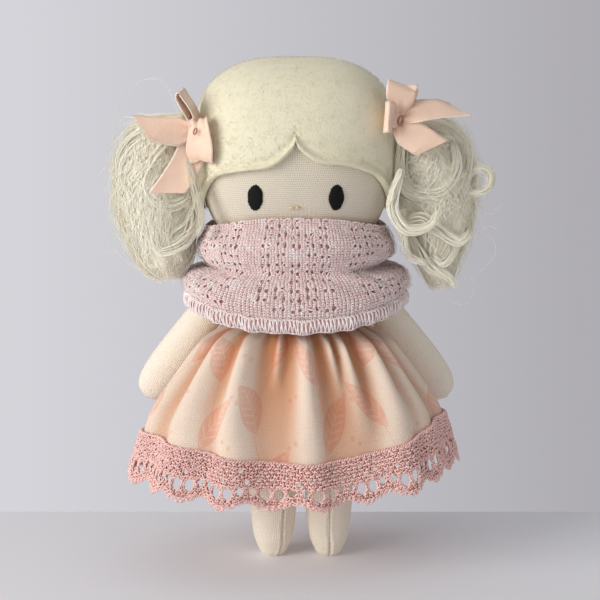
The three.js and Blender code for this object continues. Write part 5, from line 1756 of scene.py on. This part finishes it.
# clump_shape: (curl, coils, lowest share of the lock's radius, width, ruffle)
for name, side, stations, guides, loose, clumps, strands, clump_shape, seed in (
        ("pigtail_left", -1, left_lock, left_guides, left_loose, 58, 18,
         (2.0, 2.6, 0.93, 1.8, 2.4), 21),
        ("pigtail_right", 1, right_lock, right_guides, right_loose, 38, 27,
         (2.6, 3.4, 0.86, 2.2, 1.1), 22)):
    curl, coils, low, width, ruffle = clump_shape
    draw = np.random.default_rng(seed)
    place = 0.46 - 0.46 * np.cos(np.linspace(0, 1, 48) * math.pi)
    middle, radius, square = lock_place(side, stations, place)
    radius = radius * core_share * smooth(place, -0.03, 0.3)
    radius[[0, -1]] = 0
    angle = (np.arange(56) / 56 * math.tau)[None]
    lump = 1 + 0.05 * np.sin(angle * 3 + place[:, None] * 9) + 0.03 * np.sin(
        angle * 7 - place[:, None] * 21)
    size = radius[:, None] * lump
    core_points = middle[:, None] + (size * np.sin(angle))[..., None] * square[:, None] + (
        -size * np.cos(angle) * 0.9)[..., None] * np.array([0.0, 1.0, 0.0])
    core_points = clear_of_doll(core_points, 0.9)
    core_points[[0, -1]] = core_points[[0, -1]].mean(axis=1, keepdims=True)
    core = skin(name + "_core", core_points, poles=True)
    core.data.attributes.new("tone", "FLOAT", "POINT").data.foreach_set(
        "value", np.full(len(core.data.vertices), 0.9, np.float32))
    hair = [core]
    for part in range(2):
        paths = curled_clumps(
            side, stations, clumps, strands, curl, coils, draw, low, width, ruffle)
        paths = clear_of_doll(paths, 0.8 + draw.uniform(0, 0.9, (len(paths), 1)))
        tones = np.clip(draw.normal(0.62, 0.22, len(paths)), 0, 1)
        hair.append(mohair_strands(
            f"{name}_strands_{part}", paths, strand_radius, side, stations, tones))
    sweeps = [swept_clump(view_plane(guide, depth), amount, thick, draw)
              for guide, depth, thick, amount in guides]
    sweeps = clear_of_doll(np.concatenate(sweeps), 1.0)
    tones = np.clip(draw.normal(0.8, 0.2, len(sweeps)), 0, 1)
    hair.append(mohair_strands(name + "_sweeps", sweeps, sweep_radius, side, stations, tones))
    for part, amount, spread, beyond in wisp_layers:
        wider = [[a, b, c, d * spread + beyond] for a, b, c, d in stations]
        wisps = clear_of_doll(curled_clumps(
            side, wider, amount, 1, curl * 1.5, coils * 1.3, draw, 0.85, width, 4.5), 1.0)
        hair.append(mohair_strands(
            f"{name}_wisps_{part}", wisps, wisp_radius, side, stations, np.full(len(wisps), 0.95)))
    for number, guide in enumerate(loose):
        fibre = swept_clump(view_plane(guide, -5), 2, 0.5, draw, 60)
        hair.append(mohair_strands(
            f"{name}_loose_{number}", fibre, loose_radius, side, stations, np.full(2, 0.95)))
    for piece in hair:
        piece.data.materials.append(mohair)
        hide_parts(name)
        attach(piece, name)
